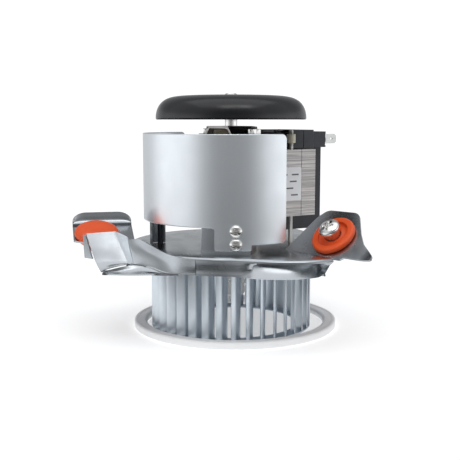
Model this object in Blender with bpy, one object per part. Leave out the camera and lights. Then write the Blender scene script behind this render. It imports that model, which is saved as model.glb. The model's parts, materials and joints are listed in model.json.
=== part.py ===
"""Combustion fan of a gas furnace: a shaded-pole motor with a vertical shaft on a
three-legged sheet-metal bracket. The shaft carries a domed cooling fan above the motor and
a squirrel-cage wheel below the bracket, and a loose gasket ring lies round the wheel.

Lengths are in millimetres and become metres as each mesh is made. +Z runs up the shaft,
+X from the left leg to the right leg, and the floor under the wheel is at height zero.
"""

import math

import bmesh
import bpy
from mathutils import Matrix, Vector

MM = 0.001
GAP = 0.3                # clearance kept between neighbouring pieces
SHEET = 1.2              # thickness of the bracket's steel sheet

# Place of the shaft in the part's frame, whose origin is under the middle of the whole part
SHAFT_X, SHAFT_Y = 10.45, -14.35

# Heights above the floor
STACK_LOW, STACK_HIGH = 71.4, 113.5
DECK_Z = 54.0            # upper face of the bracket's deck
SKIRT_Z = 43.5           # lower edge of the bracket's skirt
SHIELD_LOW, SHIELD_HIGH = 69.7, 124.0
FAN_RIM_Z, FAN_RISE = 132.3, 15.1
SHAFT_LOW, SHAFT_HIGH = 14.0, 148.7
MOTOR_SPAN = (50.0, 135.0)   # a drill this tall goes through the whole motor
DECK_SPAN = (40.0, 60.0)     # and this tall through the deck and what hangs under it
STUD_LOW = 47.4              # lower end of the studs, below their nuts

# Radii about the shaft
SHAFT_R = 3.97
BORE_R = SHAFT_R + GAP
FAN_R, FAN_WALL = 47.75, 1.8
SHIELD_R, SHIELD_WALL = 56.0, 0.9
DECK_R, LEG_REACH = 66.0, 22.0
WHEEL_R, WHEEL_TOP = 51.7, 43.0
BLADES = 36
SET_SCREW_Z = 27.0

# The motor stands turned about the shaft: u runs towards its coil and v across it
MOTOR_TURN = math.radians(30.0)
CORE_U = (-28.0, 36.7)
CORE_V = 26.0
YOKE_U = (37.0, 47.6)
POLE_R = 19.5
COIL_REACH = 60.9            # u of the coil flanges' outer edge
STUD_UV = (31.7, 21.5)       # long studs through the core's arms
BOLT_UV = (4.5, 21.0)        # short bolts through the bearing bridges
STRAP_SCREW = (-44.9, -10.3)  # x and y of the screw at the motor's left

# The gasket lies a little off the shaft's axis
GASKET_SHIFT = 2.6
GASKET_INNER, GASKET_OUTER, GASKET_Z = 57.3, 65.5, 4.7

# Ears: the plane of each grommet, as the middle of its upper face and its normal
EAR_RIGHT = ((59.4, -49.0, 66.0), (-0.476, -0.469, 0.744))
EAR_LEFT = ((-82.4, -27.6, 65.2), (0.077, -0.349, 0.934))
EAR_BACK_TURN = math.radians(120.0)
GROMMET_R, GROMMET_GROOVE, GROMMET_RISE = 13.5, 9.4, 3.4
LEFT_EAR_X = (-14.2, 22.5)   # reach of the left ear and of the wall behind it
CREASE_RIGHT = -45.4         # azimuth, in degrees, of the fold under the right ear

# Materials: colour, roughness, metallic
FINISHES = {
    "shield_steel": ((0.62, 0.65, 0.68), 0.34, 1.0),
    "bracket_steel": ((0.42, 0.44, 0.46), 0.36, 1.0),
    "plated_steel": ((0.62, 0.60, 0.56), 0.38, 1.0),
    "bright_steel": ((0.80, 0.79, 0.77), 0.22, 1.0),
    "lamination": ((0.52, 0.50, 0.49), 0.48, 1.0),
    "galvanised": ((0.60, 0.65, 0.70), 0.36, 1.0),
    "aluminium": ((0.72, 0.73, 0.74), 0.35, 1.0),
    "copper": ((0.72, 0.36, 0.20), 0.30, 1.0),
    "bronze": ((0.55, 0.38, 0.20), 0.50, 1.0),
    "fan_plastic": ((0.015, 0.016, 0.022), 0.22, 0.0),
    "black_plastic": ((0.03, 0.033, 0.045), 0.40, 0.0),
    "winding": ((0.05, 0.045, 0.05), 0.50, 0.0),
    "nylon": ((0.80, 0.77, 0.68), 0.50, 0.0),
    "felt": ((0.60, 0.52, 0.40), 0.95, 0.0),
    "silicone": ((0.90, 0.20, 0.05), 0.45, 0.0),
    "label": ((0.85, 0.86, 0.88), 0.50, 0.0),
    "gasket": ((0.86, 0.87, 0.86), 0.62, 0.0),
}


def clear_scene():
    for item in list(bpy.data.objects):
        bpy.data.objects.remove(item, do_unlink=True)


def finish_material(name):
    """One material per object, with the colour of its finish."""
    color, roughness, metallic = FINISHES[name]
    material = bpy.data.materials.new(name)
    material.use_nodes = True
    shader = material.node_tree.nodes["Principled BSDF"]
    shader.inputs["Base Color"].default_value = (*color, 1.0)
    shader.inputs["Roughness"].default_value = roughness
    shader.inputs["Metallic"].default_value = metallic
    return material


def empty(name, parent=None, matrix=None):
    frame = bpy.data.objects.new(name, None)
    bpy.context.scene.collection.objects.link(frame)
    if parent is not None:
        frame.parent = parent
    if matrix is not None:
        frame.matrix_local = matrix
    return frame


def add(name, bm, finish, parent, smooth=None):
    """Turn a bmesh in millimetres into a named object under a parent frame."""
    bmesh.ops.recalc_face_normals(bm, faces=bm.faces)
    bm.transform(Matrix.Scale(MM, 4))
    mesh = bpy.data.meshes.new(name)
    bm.to_mesh(mesh)
    bm.free()
    thing = bpy.data.objects.new(name, mesh)
    bpy.context.scene.collection.objects.link(thing)
    thing.parent = parent
    if finish is not None:
        mesh.materials.append(finish_material(finish))
    if smooth is not None:
        mesh.shade_smooth()
        mesh.set_sharp_from_angle(angle=math.radians(smooth))
    return thing


def drill(radius, span, steps=12):
    """Stock for a round hole, to be subtracted."""
    low, high = span
    return lathe([(0.0, low), (radius, low), (radius, high), (0.0, high)], steps)


def tool(thing):
    """Mark an object as a cutter or as stock for a union: it is no piece of its own."""
    thing.hide_render = True
    thing.display_type = "WIRE"
    return thing


def boolean(thing, other, operation):
    modifier = thing.modifiers.new(other.name, "BOOLEAN")
    modifier.object = tool(other)
    modifier.operation = operation
    modifier.solver = "EXACT"


def cut(thing, *others):
    for other in others:
        boolean(thing, other, "DIFFERENCE")
    return thing


def join(thing, *others):
    for other in others:
        boolean(thing, other, "UNION")
    return thing


# ---------------------------------------------------------------- solids

def lathe(profile, steps, turn=(0.0, 360.0)):
    """Revolve a closed (radius, height) outline; radius zero makes a point on the axis."""
    bm = bmesh.new()
    whole = abs(turn[1] - turn[0]) >= 360.0
    count = steps if whole else steps + 1
    rings = []
    for radius, height in profile:
        if radius == 0.0:
            rings.append([bm.verts.new((0.0, 0.0, height))] * count)
            continue
        ring = []
        for k in range(count):
            angle = math.radians(turn[0] + (turn[1] - turn[0]) * k / steps)
            ring.append(bm.verts.new((radius * math.cos(angle), radius * math.sin(angle), height)))
        rings.append(ring)
    for a, b in zip(rings, rings[1:] + rings[:1]):
        for k in range(steps):
            n = (k + 1) % count
            corners = []
            for vert in (a[k], a[n], b[n], b[k]):
                if vert not in corners:
                    corners.append(vert)
            if len(corners) > 2:
                bm.faces.new(corners)
    if not whole:
        bm.faces.new([ring[0] for ring in rings])
        bm.faces.new([ring[-1] for ring in rings])
    return bm


def disc_profile(inner, outer, low, high, chamfer=0.0):
    """Outline of a ring, or of a disc where inner is zero, with chamfered outer corners."""
    c = chamfer
    if c == 0.0:
        return [(inner, low), (outer, low), (outer, high), (inner, high)]
    return [(inner, low), (outer - c, low), (outer, low + c),
            (outer, high - c), (outer - c, high), (inner, high)]


def prism(outline, low, high):
    """Extrude a plan outline between two heights."""
    bm = bmesh.new()
    bottom = [bm.verts.new((x, y, low)) for x, y in outline]
    top = [bm.verts.new((x, y, high)) for x, y in outline]
    bm.faces.new(bottom)
    bm.faces.new(top)
    for k in range(len(outline)):
        n = (k + 1) % len(outline)
        bm.faces.new((bottom[k], bottom[n], top[n], top[k]))
    return bm


def block(x, y, z):
    return prism([(x[0], y[0]), (x[1], y[0]), (x[1], y[1]), (x[0], y[1])], z[0], z[1])


def slab(profile, low, high):
    """Extrude a (v, z) side outline along u, from u low to u high."""
    bm = prism(profile, low, high)
    for vert in bm.verts:
        vert.co = Vector((vert.co.z, vert.co.x, vert.co.y))
    return bm


def rounded(corners, arc_steps=4):
    """Round each (x, y, radius) corner of an outline with an arc."""
    outline = []
    for k, (x, y, radius) in enumerate(corners):
        here = Vector((x, y))
        before = (Vector(corners[k - 1][:2]) - here).normalized()
        after = (Vector(corners[(k + 1) % len(corners)][:2]) - here).normalized()
        if radius == 0.0:
            outline.append((x, y))
            continue
        half = before.angle(after) / 2.0
        start = here + before * (radius / math.tan(half))
        stop = here + after * (radius / math.tan(half))
        middle = here + (before + after).normalized() * (radius / math.sin(half))
        first, last = start - middle, stop - middle
        sweep = first.angle_signed(last)
        for step in range(arc_steps + 1):
            turned = first.copy()
            turned.rotate(Matrix.Rotation(-sweep * step / arc_steps, 2))
            outline.append(tuple(middle + turned))
    return outline


def sheet(rows, thickness):
    """A sheet of metal through rows of points, thickened against its normals."""
    bm = bmesh.new()
    grid = [[bm.verts.new(point) for point in row] for row in rows]
    for a, b in zip(grid, grid[1:]):
        for k in range(len(a) - 1):
            bm.faces.new((a[k], a[k + 1], b[k + 1], b[k]))
    bm.normal_update()
    shift = {vert: vert.normal * -thickness for vert in bm.verts}
    twin = {vert: bm.verts.new(vert.co + shift[vert]) for vert in list(bm.verts)}
    border = [edge for edge in bm.edges if edge.is_boundary]
    for face in list(bm.faces):
        bm.faces.new([twin[vert] for vert in reversed(face.verts)])
    for edge in border:
        a, b = edge.verts
        bm.faces.new((a, b, twin[b], twin[a]))
    return bm


def tube(points, radius, sides=8):
    """A round wire along a line of points."""
    bm = bmesh.new()
    line = [Vector(point) for point in points]
    rings = []
    for k, here in enumerate(line):
        ahead = line[min(k + 1, len(line) - 1)] - line[max(k - 1, 0)]
        turn = ahead.to_track_quat("Z", "Y")
        ring = []
        for side in range(sides):
            angle = 2.0 * math.pi * side / sides
            offset = Vector((radius * math.cos(angle), radius * math.sin(angle), 0.0))
            ring.append(bm.verts.new(here + turn @ offset))
        rings.append(ring)
    for a, b in zip(rings, rings[1:]):
        for side in range(sides):
            n = (side + 1) % sides
            bm.faces.new((a[side], a[n], b[n], b[side]))
    bm.faces.new(rings[0])
    bm.faces.new(rings[-1])
    return bm


def hexagon(across_flats):
    radius = across_flats / math.sqrt(3.0)
    return [(radius * math.cos(math.radians(60 * k)), radius * math.sin(math.radians(60 * k)))
            for k in range(6)]


def shifted(bm, x=0.0, y=0.0, z=0.0):
    bm.transform(Matrix.Translation((x, y, z)))
    return bm


def smoothstep(x):
    x = min(1.0, max(0.0, x))
    return x * x * (3.0 - 2.0 * x)


# ---------------------------------------------------------------- turning pieces

def add_shaft(rotor):
    profile = [(0.0, SHAFT_LOW)] + disc_profile(0.0, SHAFT_R, SHAFT_LOW, SHAFT_HIGH, 0.6)[1:-1]
    add("motor_shaft", lathe(profile + [(0.0, SHAFT_HIGH)], 24), "bright_steel", rotor, 30)


def fan_curve(radius, rise, low, steps):
    """Dome outline from rim to crown: nearly flat on top with a tight rounded shoulder."""
    points = []
    for k in range(steps + 1):
        angle = 0.5 * math.pi * (1.0 - k / steps)
        points.append((radius * math.sin(angle) ** 0.25, low + rise * math.cos(angle)))
    return points[:-1]


def add_cooling_fan(rotor):
    outer = fan_curve(FAN_R, FAN_RISE, FAN_RIM_Z, 7)
    inner = fan_curve(FAN_R - FAN_WALL, FAN_RISE - FAN_WALL, FAN_RIM_Z, 4)
    hub_r, hub_low = 7.5, FAN_RIM_Z + 0.9
    crown, ceiling = FAN_RIM_Z + FAN_RISE, FAN_RIM_Z + FAN_RISE - FAN_WALL
    profile = outer + [(BORE_R, crown), (BORE_R, hub_low), (hub_r, hub_low), (hub_r, ceiling)]
    fan = add("cooling_fan", lathe(profile + inner[::-1], 48), "fan_plastic", rotor, 35)
    vanes = 7
    tip, tip_z, root_z = 43.0, FAN_RIM_Z + 9.7, FAN_RIM_Z + 14.0
    side = [(6.5, FAN_RIM_Z + 2.2), (tip, FAN_RIM_Z + 2.2), (tip, tip_z), (36.0, tip_z + 3.3),
            (6.5, root_z)]
    for k in range(vanes):
        vane = prism(side, -0.7, 0.7)
        for vert in vane.verts:
            vert.co = Vector((vert.co.x, vert.co.z, vert.co.y))
        vane.transform(Matrix.Rotation(math.tau * k / vanes, 4, "Z"))
        join(fan, add(f"fan_vane_{k}", vane, None, rotor))


def add_rotor(rotor):
    core = disc_profile(BORE_R, POLE_R - 0.7, STACK_LOW + GAP, STACK_HIGH - GAP)
    add("rotor_core", lathe(core, 32), "lamination", rotor, 30)
    for name, low in (("rotor_end_ring_upper", STACK_HIGH), ("rotor_end_ring_lower", STACK_LOW - 3.5)):
        ring = disc_profile(9.0, 17.5, low, low + 3.5, 0.5)
        add(name, lathe(ring, 24), "aluminium", rotor, 30)
    for name, low in (("thrust_washer_upper", 117.4), ("thrust_washer_lower", 66.6)):
        add(name, lathe(disc_profile(BORE_R, 7.0, low, low + 0.9), 20), "nylon", rotor, 30)


def blade_outline():
    """Plan of one forward-curved blade at azimuth zero, tip outwards."""
    turn_start, turn_stop, radius, half = math.radians(-66), math.radians(-10), 9.3, 0.35
    middle, steps = [], 3
    x, y = WHEEL_R - 0.35, 0.0
    length = radius * (turn_stop - turn_start) / steps
    for k in range(steps + 1):
        heading = math.pi + turn_start + (turn_stop - turn_start) * k / steps
        middle.append((Vector((x, y)), heading))
        step_heading = heading + 0.5 * (turn_stop - turn_start) / steps
        x += length * math.cos(step_heading)
        y += length * math.sin(step_heading)
    left = [tuple(p + half * Vector((-math.sin(h), math.cos(h)))) for p, h in middle]
    right = [tuple(p - half * Vector((-math.sin(h), math.cos(h)))) for p, h in middle]
    return left + right[::-1]


def add_wheel(rotor):
    low, high, hoop = 0.0, WHEEL_TOP - 1.0, 1.2
    inner = WHEEL_R - 9.5
    wheel = add("wheel_blades", lathe(disc_profile(inner, WHEEL_R, low, hoop), 48),
                "galvanised", rotor)
    outline = blade_outline()
    comb = bmesh.new()
    for k in range(BLADES):
        blade = prism(outline, hoop * 0.5, high - hoop * 0.5)
        blade.transform(Matrix.Rotation(math.tau * k / BLADES, 4, "Z"))
        mesh = bpy.data.meshes.new("blade")
        blade.to_mesh(mesh)
        blade.free()
        comb.from_mesh(mesh)
        bpy.data.meshes.remove(mesh)
    join(wheel, add("blade_comb", comb, None, rotor))
    join(wheel, add("upper_hoop", lathe(disc_profile(inner, WHEEL_R, high - hoop, high), 48),
                    None, rotor))
    back_low = high + GAP
    plate = [(BORE_R, back_low), (WHEEL_R, back_low), (WHEEL_R, back_low + 1.0),
             (BORE_R, back_low + 1.0)]
    add("wheel_backplate", lathe(plate, 48), "galvanised", rotor)
    hub_high, flange = high - 0.1, 15.0
    hub = [(BORE_R, 20.0), (8.5, 20.0), (9.0, 20.5), (9.0, hub_high - 2.5),
           (flange, hub_high - 2.5), (flange, hub_high), (BORE_R, hub_high)]
    hub_piece = add("wheel_hub", lathe(hub, 20), "plated_steel", rotor, 30)
    sideways = Matrix.Translation((0, 0, SET_SCREW_Z)) @ Matrix.Rotation(math.pi / 2, 4, "Y")
    hole, screw = drill(2.3, (0.0, 12.0)), drill(2.0, (SHAFT_R + 0.43, 9.6))
    hole.transform(sideways)
    screw.transform(sideways)
    cut(hub_piece, add("set_screw_hole", hole, None, rotor))
    add("hub_set_screw", screw, "bright_steel", rotor, 30)


# ---------------------------------------------------------------- motor

def add_core(motor):
    u0, u1 = CORE_U
    outline = rounded([(u0, -CORE_V, 5), (u1, -CORE_V, 0), (u1, -14.0, 0), (27.0, -14.0, 0),
                       (27.0, -1.5, 0), (10.0, -1.5, 0), (10.0, 1.5, 0), (27.0, 1.5, 0),
                       (27.0, 14.0, 0), (u1, 14.0, 0), (u1, CORE_V, 0), (u0, CORE_V, 5)], 3)
    core = add("stator_core", prism(outline, STACK_LOW, STACK_HIGH), "lamination", motor)
    cut(core, add("pole_bore", drill(POLE_R, MOTOR_SPAN, 32), None, motor))
    holes = [(STUD_UV, 2.0), ((STUD_UV[0], -STUD_UV[1]), 2.0),
             ((BOLT_UV[0], -BOLT_UV[1]), 2.4), ((-BOLT_UV[0], BOLT_UV[1]), 2.4)]
    for k, ((u, v), radius) in enumerate(holes):
        cut(core, add(f"core_hole_{k}", shifted(drill(radius, MOTOR_SPAN), u, v), None, motor))
    for side, name in ((1, "shading_coil_a"), (-1, "shading_coil_b")):
        first, second = Vector((10.0, 22.5)) * side, Vector((20.0, 16.5)) * side
        along = (second - first).normalized()
        wide = Vector((-along.y, along.x))
        for k, leg in enumerate((first, second)):
            square = [tuple(leg + along * a + wide * b)
                      for a, b in ((-1.4, -1.4), (1.4, -1.4), (1.4, 1.4), (-1.4, 1.4))]
            cut(core, add(f"{name}_slot_{k}", prism(square, *MOTOR_SPAN), None, motor))
        length = (second - first).length
        ring = [(-1.1, STACK_LOW - 2.5), (length + 1.1, STACK_LOW - 2.5),
                (length + 1.1, STACK_HIGH + 2.5), (-1.1, STACK_HIGH + 2.5)]
        hole = [(1.1, STACK_LOW - 0.3), (length - 1.1, STACK_LOW - 0.3),
                (length - 1.1, STACK_HIGH + 0.3), (1.1, STACK_HIGH + 0.3)]
        frame = bmesh.new()
        layers = []
        for depth in (-1.1, 1.1):
            layers.append([[frame.verts.new((*(first + along * a + wide * depth), z))
                            for a, z in loop] for loop in (ring, hole)])
        for outer, inner in layers:
            for k in range(4):
                n = (k + 1) % 4
                frame.faces.new((outer[k], outer[n], inner[n], inner[k]))
        for loop in (0, 1):
            for k in range(4):
                n = (k + 1) % 4
                frame.faces.new((layers[0][loop][k], layers[0][loop][n],
                                 layers[1][loop][n], layers[1][loop][k]))
        add(name, frame, "copper", motor)
    yoke = block(YOKE_U, (-CORE_V, CORE_V), (STACK_LOW, STACK_HIGH))
    add("stator_yoke", yoke, "lamination", motor)


def frame_ring(name, outer, inner, v, finish, motor):
    """A rectangular ring round the yoke: (u, z) outlines extruded across v."""
    (u0, u1, z0, z1), (a0, a1, b0, b1) = outer, inner
    ring = block((u0, u1), v, (z0, z1))
    piece = add(name, ring, finish, motor)
    hole = block((a0, a1), (v[0] - 1.0, v[1] + 1.0), (b0, b1))
    return cut(piece, add(f"{name}_hole", hole, None, motor))


def add_coil(motor):
    u0, u1 = YOKE_U
    tube_in = (u0 - GAP, u1 + GAP, STACK_LOW - GAP, STACK_HIGH + GAP)
    tube_out = (u0 - 1.5, u1 + 1.5, STACK_LOW - 1.5, STACK_HIGH + 1.5)
    flange = (29.0, COIL_REACH, 61.0, 123.4)
    bobbin = frame_ring("coil_bobbin", tube_out, tube_in, (-13.7, 13.7), "black_plastic", motor)
    for side in (-1, 1):
        across = tuple(sorted((side * 12.2, side * 13.7)))
        wall = block(flange[0:2], across, flange[2:4])
        cheek = add(f"bobbin_flange_{side + 1}", wall, None, motor)
        opening = block(tube_in[0:2], (across[0] - 1, across[1] + 1), tube_in[2:4])
        join(bobbin, cut(cheek, add(f"flange_hole_{side + 1}", opening, None, motor)))
    winding = (31.0, COIL_REACH - 2.2, 63.4, 121.4)
    hollow = (tube_out[0] - GAP, tube_out[1] + GAP, tube_out[2] - GAP, tube_out[3] + GAP)
    frame_ring("coil_winding", winding, hollow, (-11.9, 11.9), "winding", motor)


def add_terminals(motor):
    low, high = STACK_HIGH + 0.5, 125.8
    body = add("terminal_block", block((34.0, 51.0), (-19.3, 19.3), (low, high)),
               "black_plastic", motor)
    inside, nose = COIL_REACH + 0.4, COIL_REACH + 2.0
    join(body, add("terminal_nose", block((50.0, nose), (-17.0, 17.0), (low + 0.4, high - 1.2)),
                   None, motor))
    cavity = block((20.0, inside), (-14.1, 14.1), (low - 5.0, high - 2.0))
    cut(body, add("terminal_cavity", cavity, None, motor))
    for name, v in (("spade_terminal_a", -13.0), ("spade_terminal_b", 13.0)):
        slot = block((inside - 2.0, nose + 2.0), (v - 0.7, v + 0.7), (low + 2.2, low + 9.4))
        cut(body, add(f"{name}_slot", slot, None, motor))
        z, root, tip = (low + 2.6, low + 8.9), inside + 0.3, nose + 10.5
        tab = rounded([(root, z[0], 0), (tip, z[0], 1.2), (tip, z[1], 1.2), (root, z[1], 0)], 3)
        spade = prism(tab, v - 0.4, v + 0.4)
        for vert in spade.verts:
            vert.co = Vector((vert.co.x, vert.co.z, vert.co.y))
        add(name, spade, "bright_steel", motor)
    lead = [(33.6, -9.0, 124.6), (30.0, -11.5, 125.2), (26.0, -15.5, 125.3), (21.0, -19.0, 125.0)]
    add("thermal_lead", tube(lead, 0.8, 6), "black_plastic", motor, 40)


def bridge_profile(foot, span, flat, crown, thick):
    """Side outline of a bridge: two feet, two slopes and a flat crown."""
    return [(-span, foot), (-flat - 5.0, foot), (-flat, crown), (flat, crown), (flat + 5.0, foot),
            (span, foot), (span, foot + thick), (flat + 5.8, foot + thick),
            (flat + 0.8, crown + thick), (-flat - 0.8, crown + thick),
            (-flat - 5.8, foot + thick), (-span, foot + thick)]


def add_bearing_end(motor, place, foot, crown, bearing, wick, keeper):
    """A bearing bridge with its self-aligning bush, felt wick and spring keeper."""
    thick = 1.5
    if crown > foot:
        profile = bridge_profile(foot, 26.0, 11.5, crown, thick)
    else:
        profile = [(v, foot + crown + thick - z) for v, z in
                   bridge_profile(crown, 26.0, 11.5, foot, thick)]
    bridge = add(f"{place}_bearing_bridge", slab(profile, -9.5, 9.5), "plated_steel", motor)
    cut(bridge, add(f"{place}_bridge_bore", drill(5.6, MOTOR_SPAN, 24), None, motor))
    for k, side in enumerate((-1, 1)):
        spot = shifted(drill(2.3, MOTOR_SPAN), -side * BOLT_UV[0], side * BOLT_UV[1])
        cut(bridge, add(f"{place}_bridge_hole_{k}", spot, None, motor))
    low, high = bearing
    mid, half = (low + high) / 2.0, (high - low) / 2.0
    ball, widest = [(BORE_R, low)], math.radians(50)
    for k in range(5):
        angle = widest * (k / 2 - 1)
        ball.append((7.2 * math.cos(angle) + 0.3, mid + half * math.sin(angle) / math.sin(widest)))
    ball.append((BORE_R, high))
    add(f"{place}_bearing", lathe(ball, 16), "bronze", motor, 40)
    add(f"{place}_oil_wick", lathe(disc_profile(8.0, 10.8, *wick), 16), "felt", motor, 30)
    add(f"{place}_bearing_keeper", lathe(disc_profile(5.2, 11.0, *keeper), 16),
        "bright_steel", motor, 30)


def add_bolts(motor):
    for name, side in (("front_core_bolt", -1), ("rear_core_bolt", 1)):
        u, v = -side * BOLT_UV[0], side * BOLT_UV[1]
        stem = lathe([(0.0, 61.4), (1.9, 61.4), (1.9, 128.2), (0.0, 128.2)], 12)
        bolt = add(name, shifted(stem, u, v), "bright_steel", motor, 40)
        head = shifted(prism(hexagon(7.0), 61.0, 63.6), u, v)
        join(bolt, add(f"{name}_head", head, None, motor))
        nut = add(f"{name}_nut", shifted(prism(hexagon(7.6), 123.4, 126.6), u, v),
                  "bright_steel", motor)
        cut(nut, add(f"{name}_nut_hole", shifted(drill(2.2, MOTOR_SPAN), u, v), None, motor))
        for place, low, high in (("upper", STACK_HIGH + GAP, 121.5), ("lower", 65.8, STACK_LOW - GAP)):
            sleeve = shifted(lathe(disc_profile(2.3, 3.9, low, high), 12), u, v)
            add(f"{name}_{place}_spacer", sleeve, "plated_steel", motor, 40)


def add_studs(motor, shaft_axis):
    """Long studs that hold the motor above the bracket, with a nut under the deck."""
    spin = Matrix.Rotation(MOTOR_TURN, 2)
    spots = {"front_stud": (STUD_UV[0], -STUD_UV[1]), "rear_stud": STUD_UV}
    for name, uv in spots.items():
        x, y = spin @ Vector(uv)
        stem = shifted(drill(1.5, (STUD_LOW, 125.6)), x, y)
        add(name, stem, "bright_steel", shaft_axis, 40)
        add_deck_nut(f"{name}_nut", x, y, 1.9, shaft_axis)
    x, y = STRAP_SCREW
    stem = lathe([(0.0, STUD_LOW), (1.9, STUD_LOW), (1.9, 72.4), (3.6, 72.4), (3.6, 73.4), (2.6, 74.6),
                  (0.0, 74.6)], 16)
    add("strap_screw", shifted(stem, x, y), "black_plastic", shaft_axis, 40)
    add_deck_nut("strap_screw_nut", x, y, 2.2, shaft_axis)
    strap = rounded([(-50.0, 8.5, 3), (-20.5, 8.5, 0), (-20.5, 19.5, 0), (-50.0, 19.5, 3)], 3)
    piece = add("motor_strap", prism(strap, STACK_LOW - 1.8, STACK_LOW - GAP), "bracket_steel", motor)
    cut(piece, add("strap_hole", shifted(drill(2.3, MOTOR_SPAN), x, y), None, shaft_axis))
    corner = [(-51.0, -15.5), (-49.4, -15.5), (-49.4, -6.0), (-42.0, -6.0), (-42.0, -4.4),
              (-51.0, -4.4)]
    add("strap_standoff", prism(corner, DECK_Z + GAP, STACK_LOW - 1.8 - GAP), "bracket_steel",
        shaft_axis)


def add_deck_nut(name, x, y, bore, shaft_axis):
    low = DECK_Z - SHEET - 3.6
    nut = add(name, shifted(prism(hexagon(7.0), low, low + 3.2), x, y), "bright_steel", shaft_axis)
    cut(nut, add(f"{name}_hole", shifted(drill(bore, DECK_SPAN), x, y), None, shaft_axis))


def add_label(motor):
    plate = block((5.0, 36.4), (-CORE_V - 0.65, -CORE_V - GAP), (81.4, 102.4))
    add("rating_label", plate, "label", motor)


# ---------------------------------------------------------------- heat shield

SHIELD_TURN = (-235.0, -54.6)     # azimuths of the shield's two free edges
TAB_TURN = (-100.0, -77.8)        # azimuths of the narrow tab below it
TAB_LOW, STEP_LOW = 56.3, 59.7
SCREW_X, SCREW_ZS = 2.8, (68.0, 60.2)
SHIELD_SPAN = (40.0, 70.0)        # a drill this long goes through the shield and its lug


def laid_forward(bm, height):
    """Lay an upright turned solid along -Y, at the shield screws' x and a height."""
    bm.transform(Matrix.Translation((SCREW_X, 0, height)) @ Matrix.Rotation(math.pi / 2, 4, "X"))
    return bm


def shield_low(azimuth):
    """Lower edge of the shield, with its tab, its step and their rounded corners."""
    arc = math.radians(1.0) * SHIELD_R

    def corner(distance, radius):
        if distance >= radius:
            return 0.0
        return radius - math.sqrt(max(0.0, radius ** 2 - (radius - distance) ** 2))

    from_left = (azimuth - TAB_TURN[0]) * arc
    from_right = (SHIELD_TURN[1] - azimuth) * arc
    if from_left < 0.0:
        free = (azimuth - SHIELD_TURN[0]) * arc
        return SHIELD_LOW - corner(-from_left, 2.0) + corner(free, 3.0)
    if azimuth < TAB_TURN[1]:
        return TAB_LOW + corner(from_left, 1.0)
    return STEP_LOW + corner(from_right, 3.0)


def add_shield(shaft_axis):
    arc = math.radians(1.0) * SHIELD_R
    stops = {SHIELD_TURN[0] + 3.0 * k for k in range(46)}
    stops = {stop for stop in stops if stop < TAB_TURN[0] - 3.0}
    for edge, spread in ((SHIELD_TURN[0], 1), (TAB_TURN[0], -1), (SHIELD_TURN[1], -1)):
        stops |= {edge + spread * reach / arc for reach in (0.0, 0.4, 1.1, 1.9, 3.0)}
    stops |= {TAB_TURN[0] + reach / arc for reach in (0.15, 0.6, 1.2)}
    stops |= {TAB_TURN[0] + 2.4 * k for k in range(1, 9)}
    stops |= {TAB_TURN[1] - 0.15, TAB_TURN[1] + 0.15}
    stops |= {TAB_TURN[1] + 3.3 * k for k in range(1, 7)}
    bm = bmesh.new()
    columns = []
    for azimuth in sorted(stops):
        edge = min(azimuth - SHIELD_TURN[0], SHIELD_TURN[1] - azimuth) * arc
        drop = 3.0 - math.sqrt(max(0.0, 9.0 - (3.0 - min(edge, 3.0)) ** 2))
        low, high = shield_low(azimuth), SHIELD_HIGH - drop
        angle = math.radians(azimuth)
        column = []
        for radius, height in ((SHIELD_R, low), (SHIELD_R, high),
                               (SHIELD_R - SHIELD_WALL, high), (SHIELD_R - SHIELD_WALL, low)):
            column.append(bm.verts.new((radius * math.cos(angle), radius * math.sin(angle), height)))
        columns.append(column)
    for a, b in zip(columns, columns[1:]):
        for k in range(4):
            n = (k + 1) % 4
            bm.faces.new((a[k], a[n], b[n], b[k]))
    bm.faces.new(columns[0])
    bm.faces.new(columns[-1])
    shield = add("heat_shield", bm, "shield_steel", shaft_axis, 30)
    for k, height in enumerate(SCREW_ZS):
        hole = laid_forward(drill(2.3, SHIELD_SPAN), height)
        cut(shield, add(f"shield_hole_{k}", hole, None, shaft_axis))
    for name, height in zip(("shield_screw_upper", "shield_screw_lower"), SCREW_ZS):
        front = SHIELD_R + GAP
        profile = [(0.0, 49.0), (1.9, 49.0), (1.9, front), (3.8, front), (3.8, front + 0.9),
                   (3.2, front + 2.1), (1.9, front + 2.7), (0.0, front + 2.9)]
        add(name, laid_forward(lathe(profile, 14), height), "bright_steel", shaft_axis, 35)


# ---------------------------------------------------------------- mounting bracket

def leg_swell(azimuth):
    """How far the deck reaches into the right or the back leg, 1 at its tip.

    It falls off sharply at the fold under the ear, and below zero behind it, where the
    deck is cut back to clear the grommet.
    """
    for crease in (CREASE_RIGHT, CREASE_RIGHT + 120.0):
        away = (azimuth - crease + 180.0) % 360.0 - 180.0
        if -50.0 < away <= -2.5:
            return smoothstep((away + 50.0) / 47.5)
        if -2.5 < away < 0.5:
            return 1.0 - 1.35 * smoothstep((away + 2.5) / 3.0)
        if 0.5 <= away < 24.0:
            return -0.35 * (1.0 - smoothstep((away - 14.0) / 10.0))
    return 0.0


def hem_swell(azimuth):
    """Where the skirt's lower edge turns outwards as a flared hem."""
    strongest = 0.0
    for middle, reach in ((-67.0, 17.0), (53.0, 17.0), (113.0, 14.0), (173.0, 14.0)):
        away = abs((azimuth - middle + 180.0) % 360.0 - 180.0)
        strongest = max(strongest, smoothstep((reach - away) / 5.0))
    return strongest


def deck_azimuths():
    """Stations round the deck, close together at the folds under the right and back ears."""
    azimuths = {6.0 * k for k in range(60)}
    for crease in (CREASE_RIGHT + 360.0, CREASE_RIGHT + 120.0):
        azimuths = {a for a in azimuths if abs(a - crease + 1.0) > 5.5}
        azimuths |= {crease + away for away in (-5.5, -2.5, 0.5, 3.5)}
    return sorted(azimuths)


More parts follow.
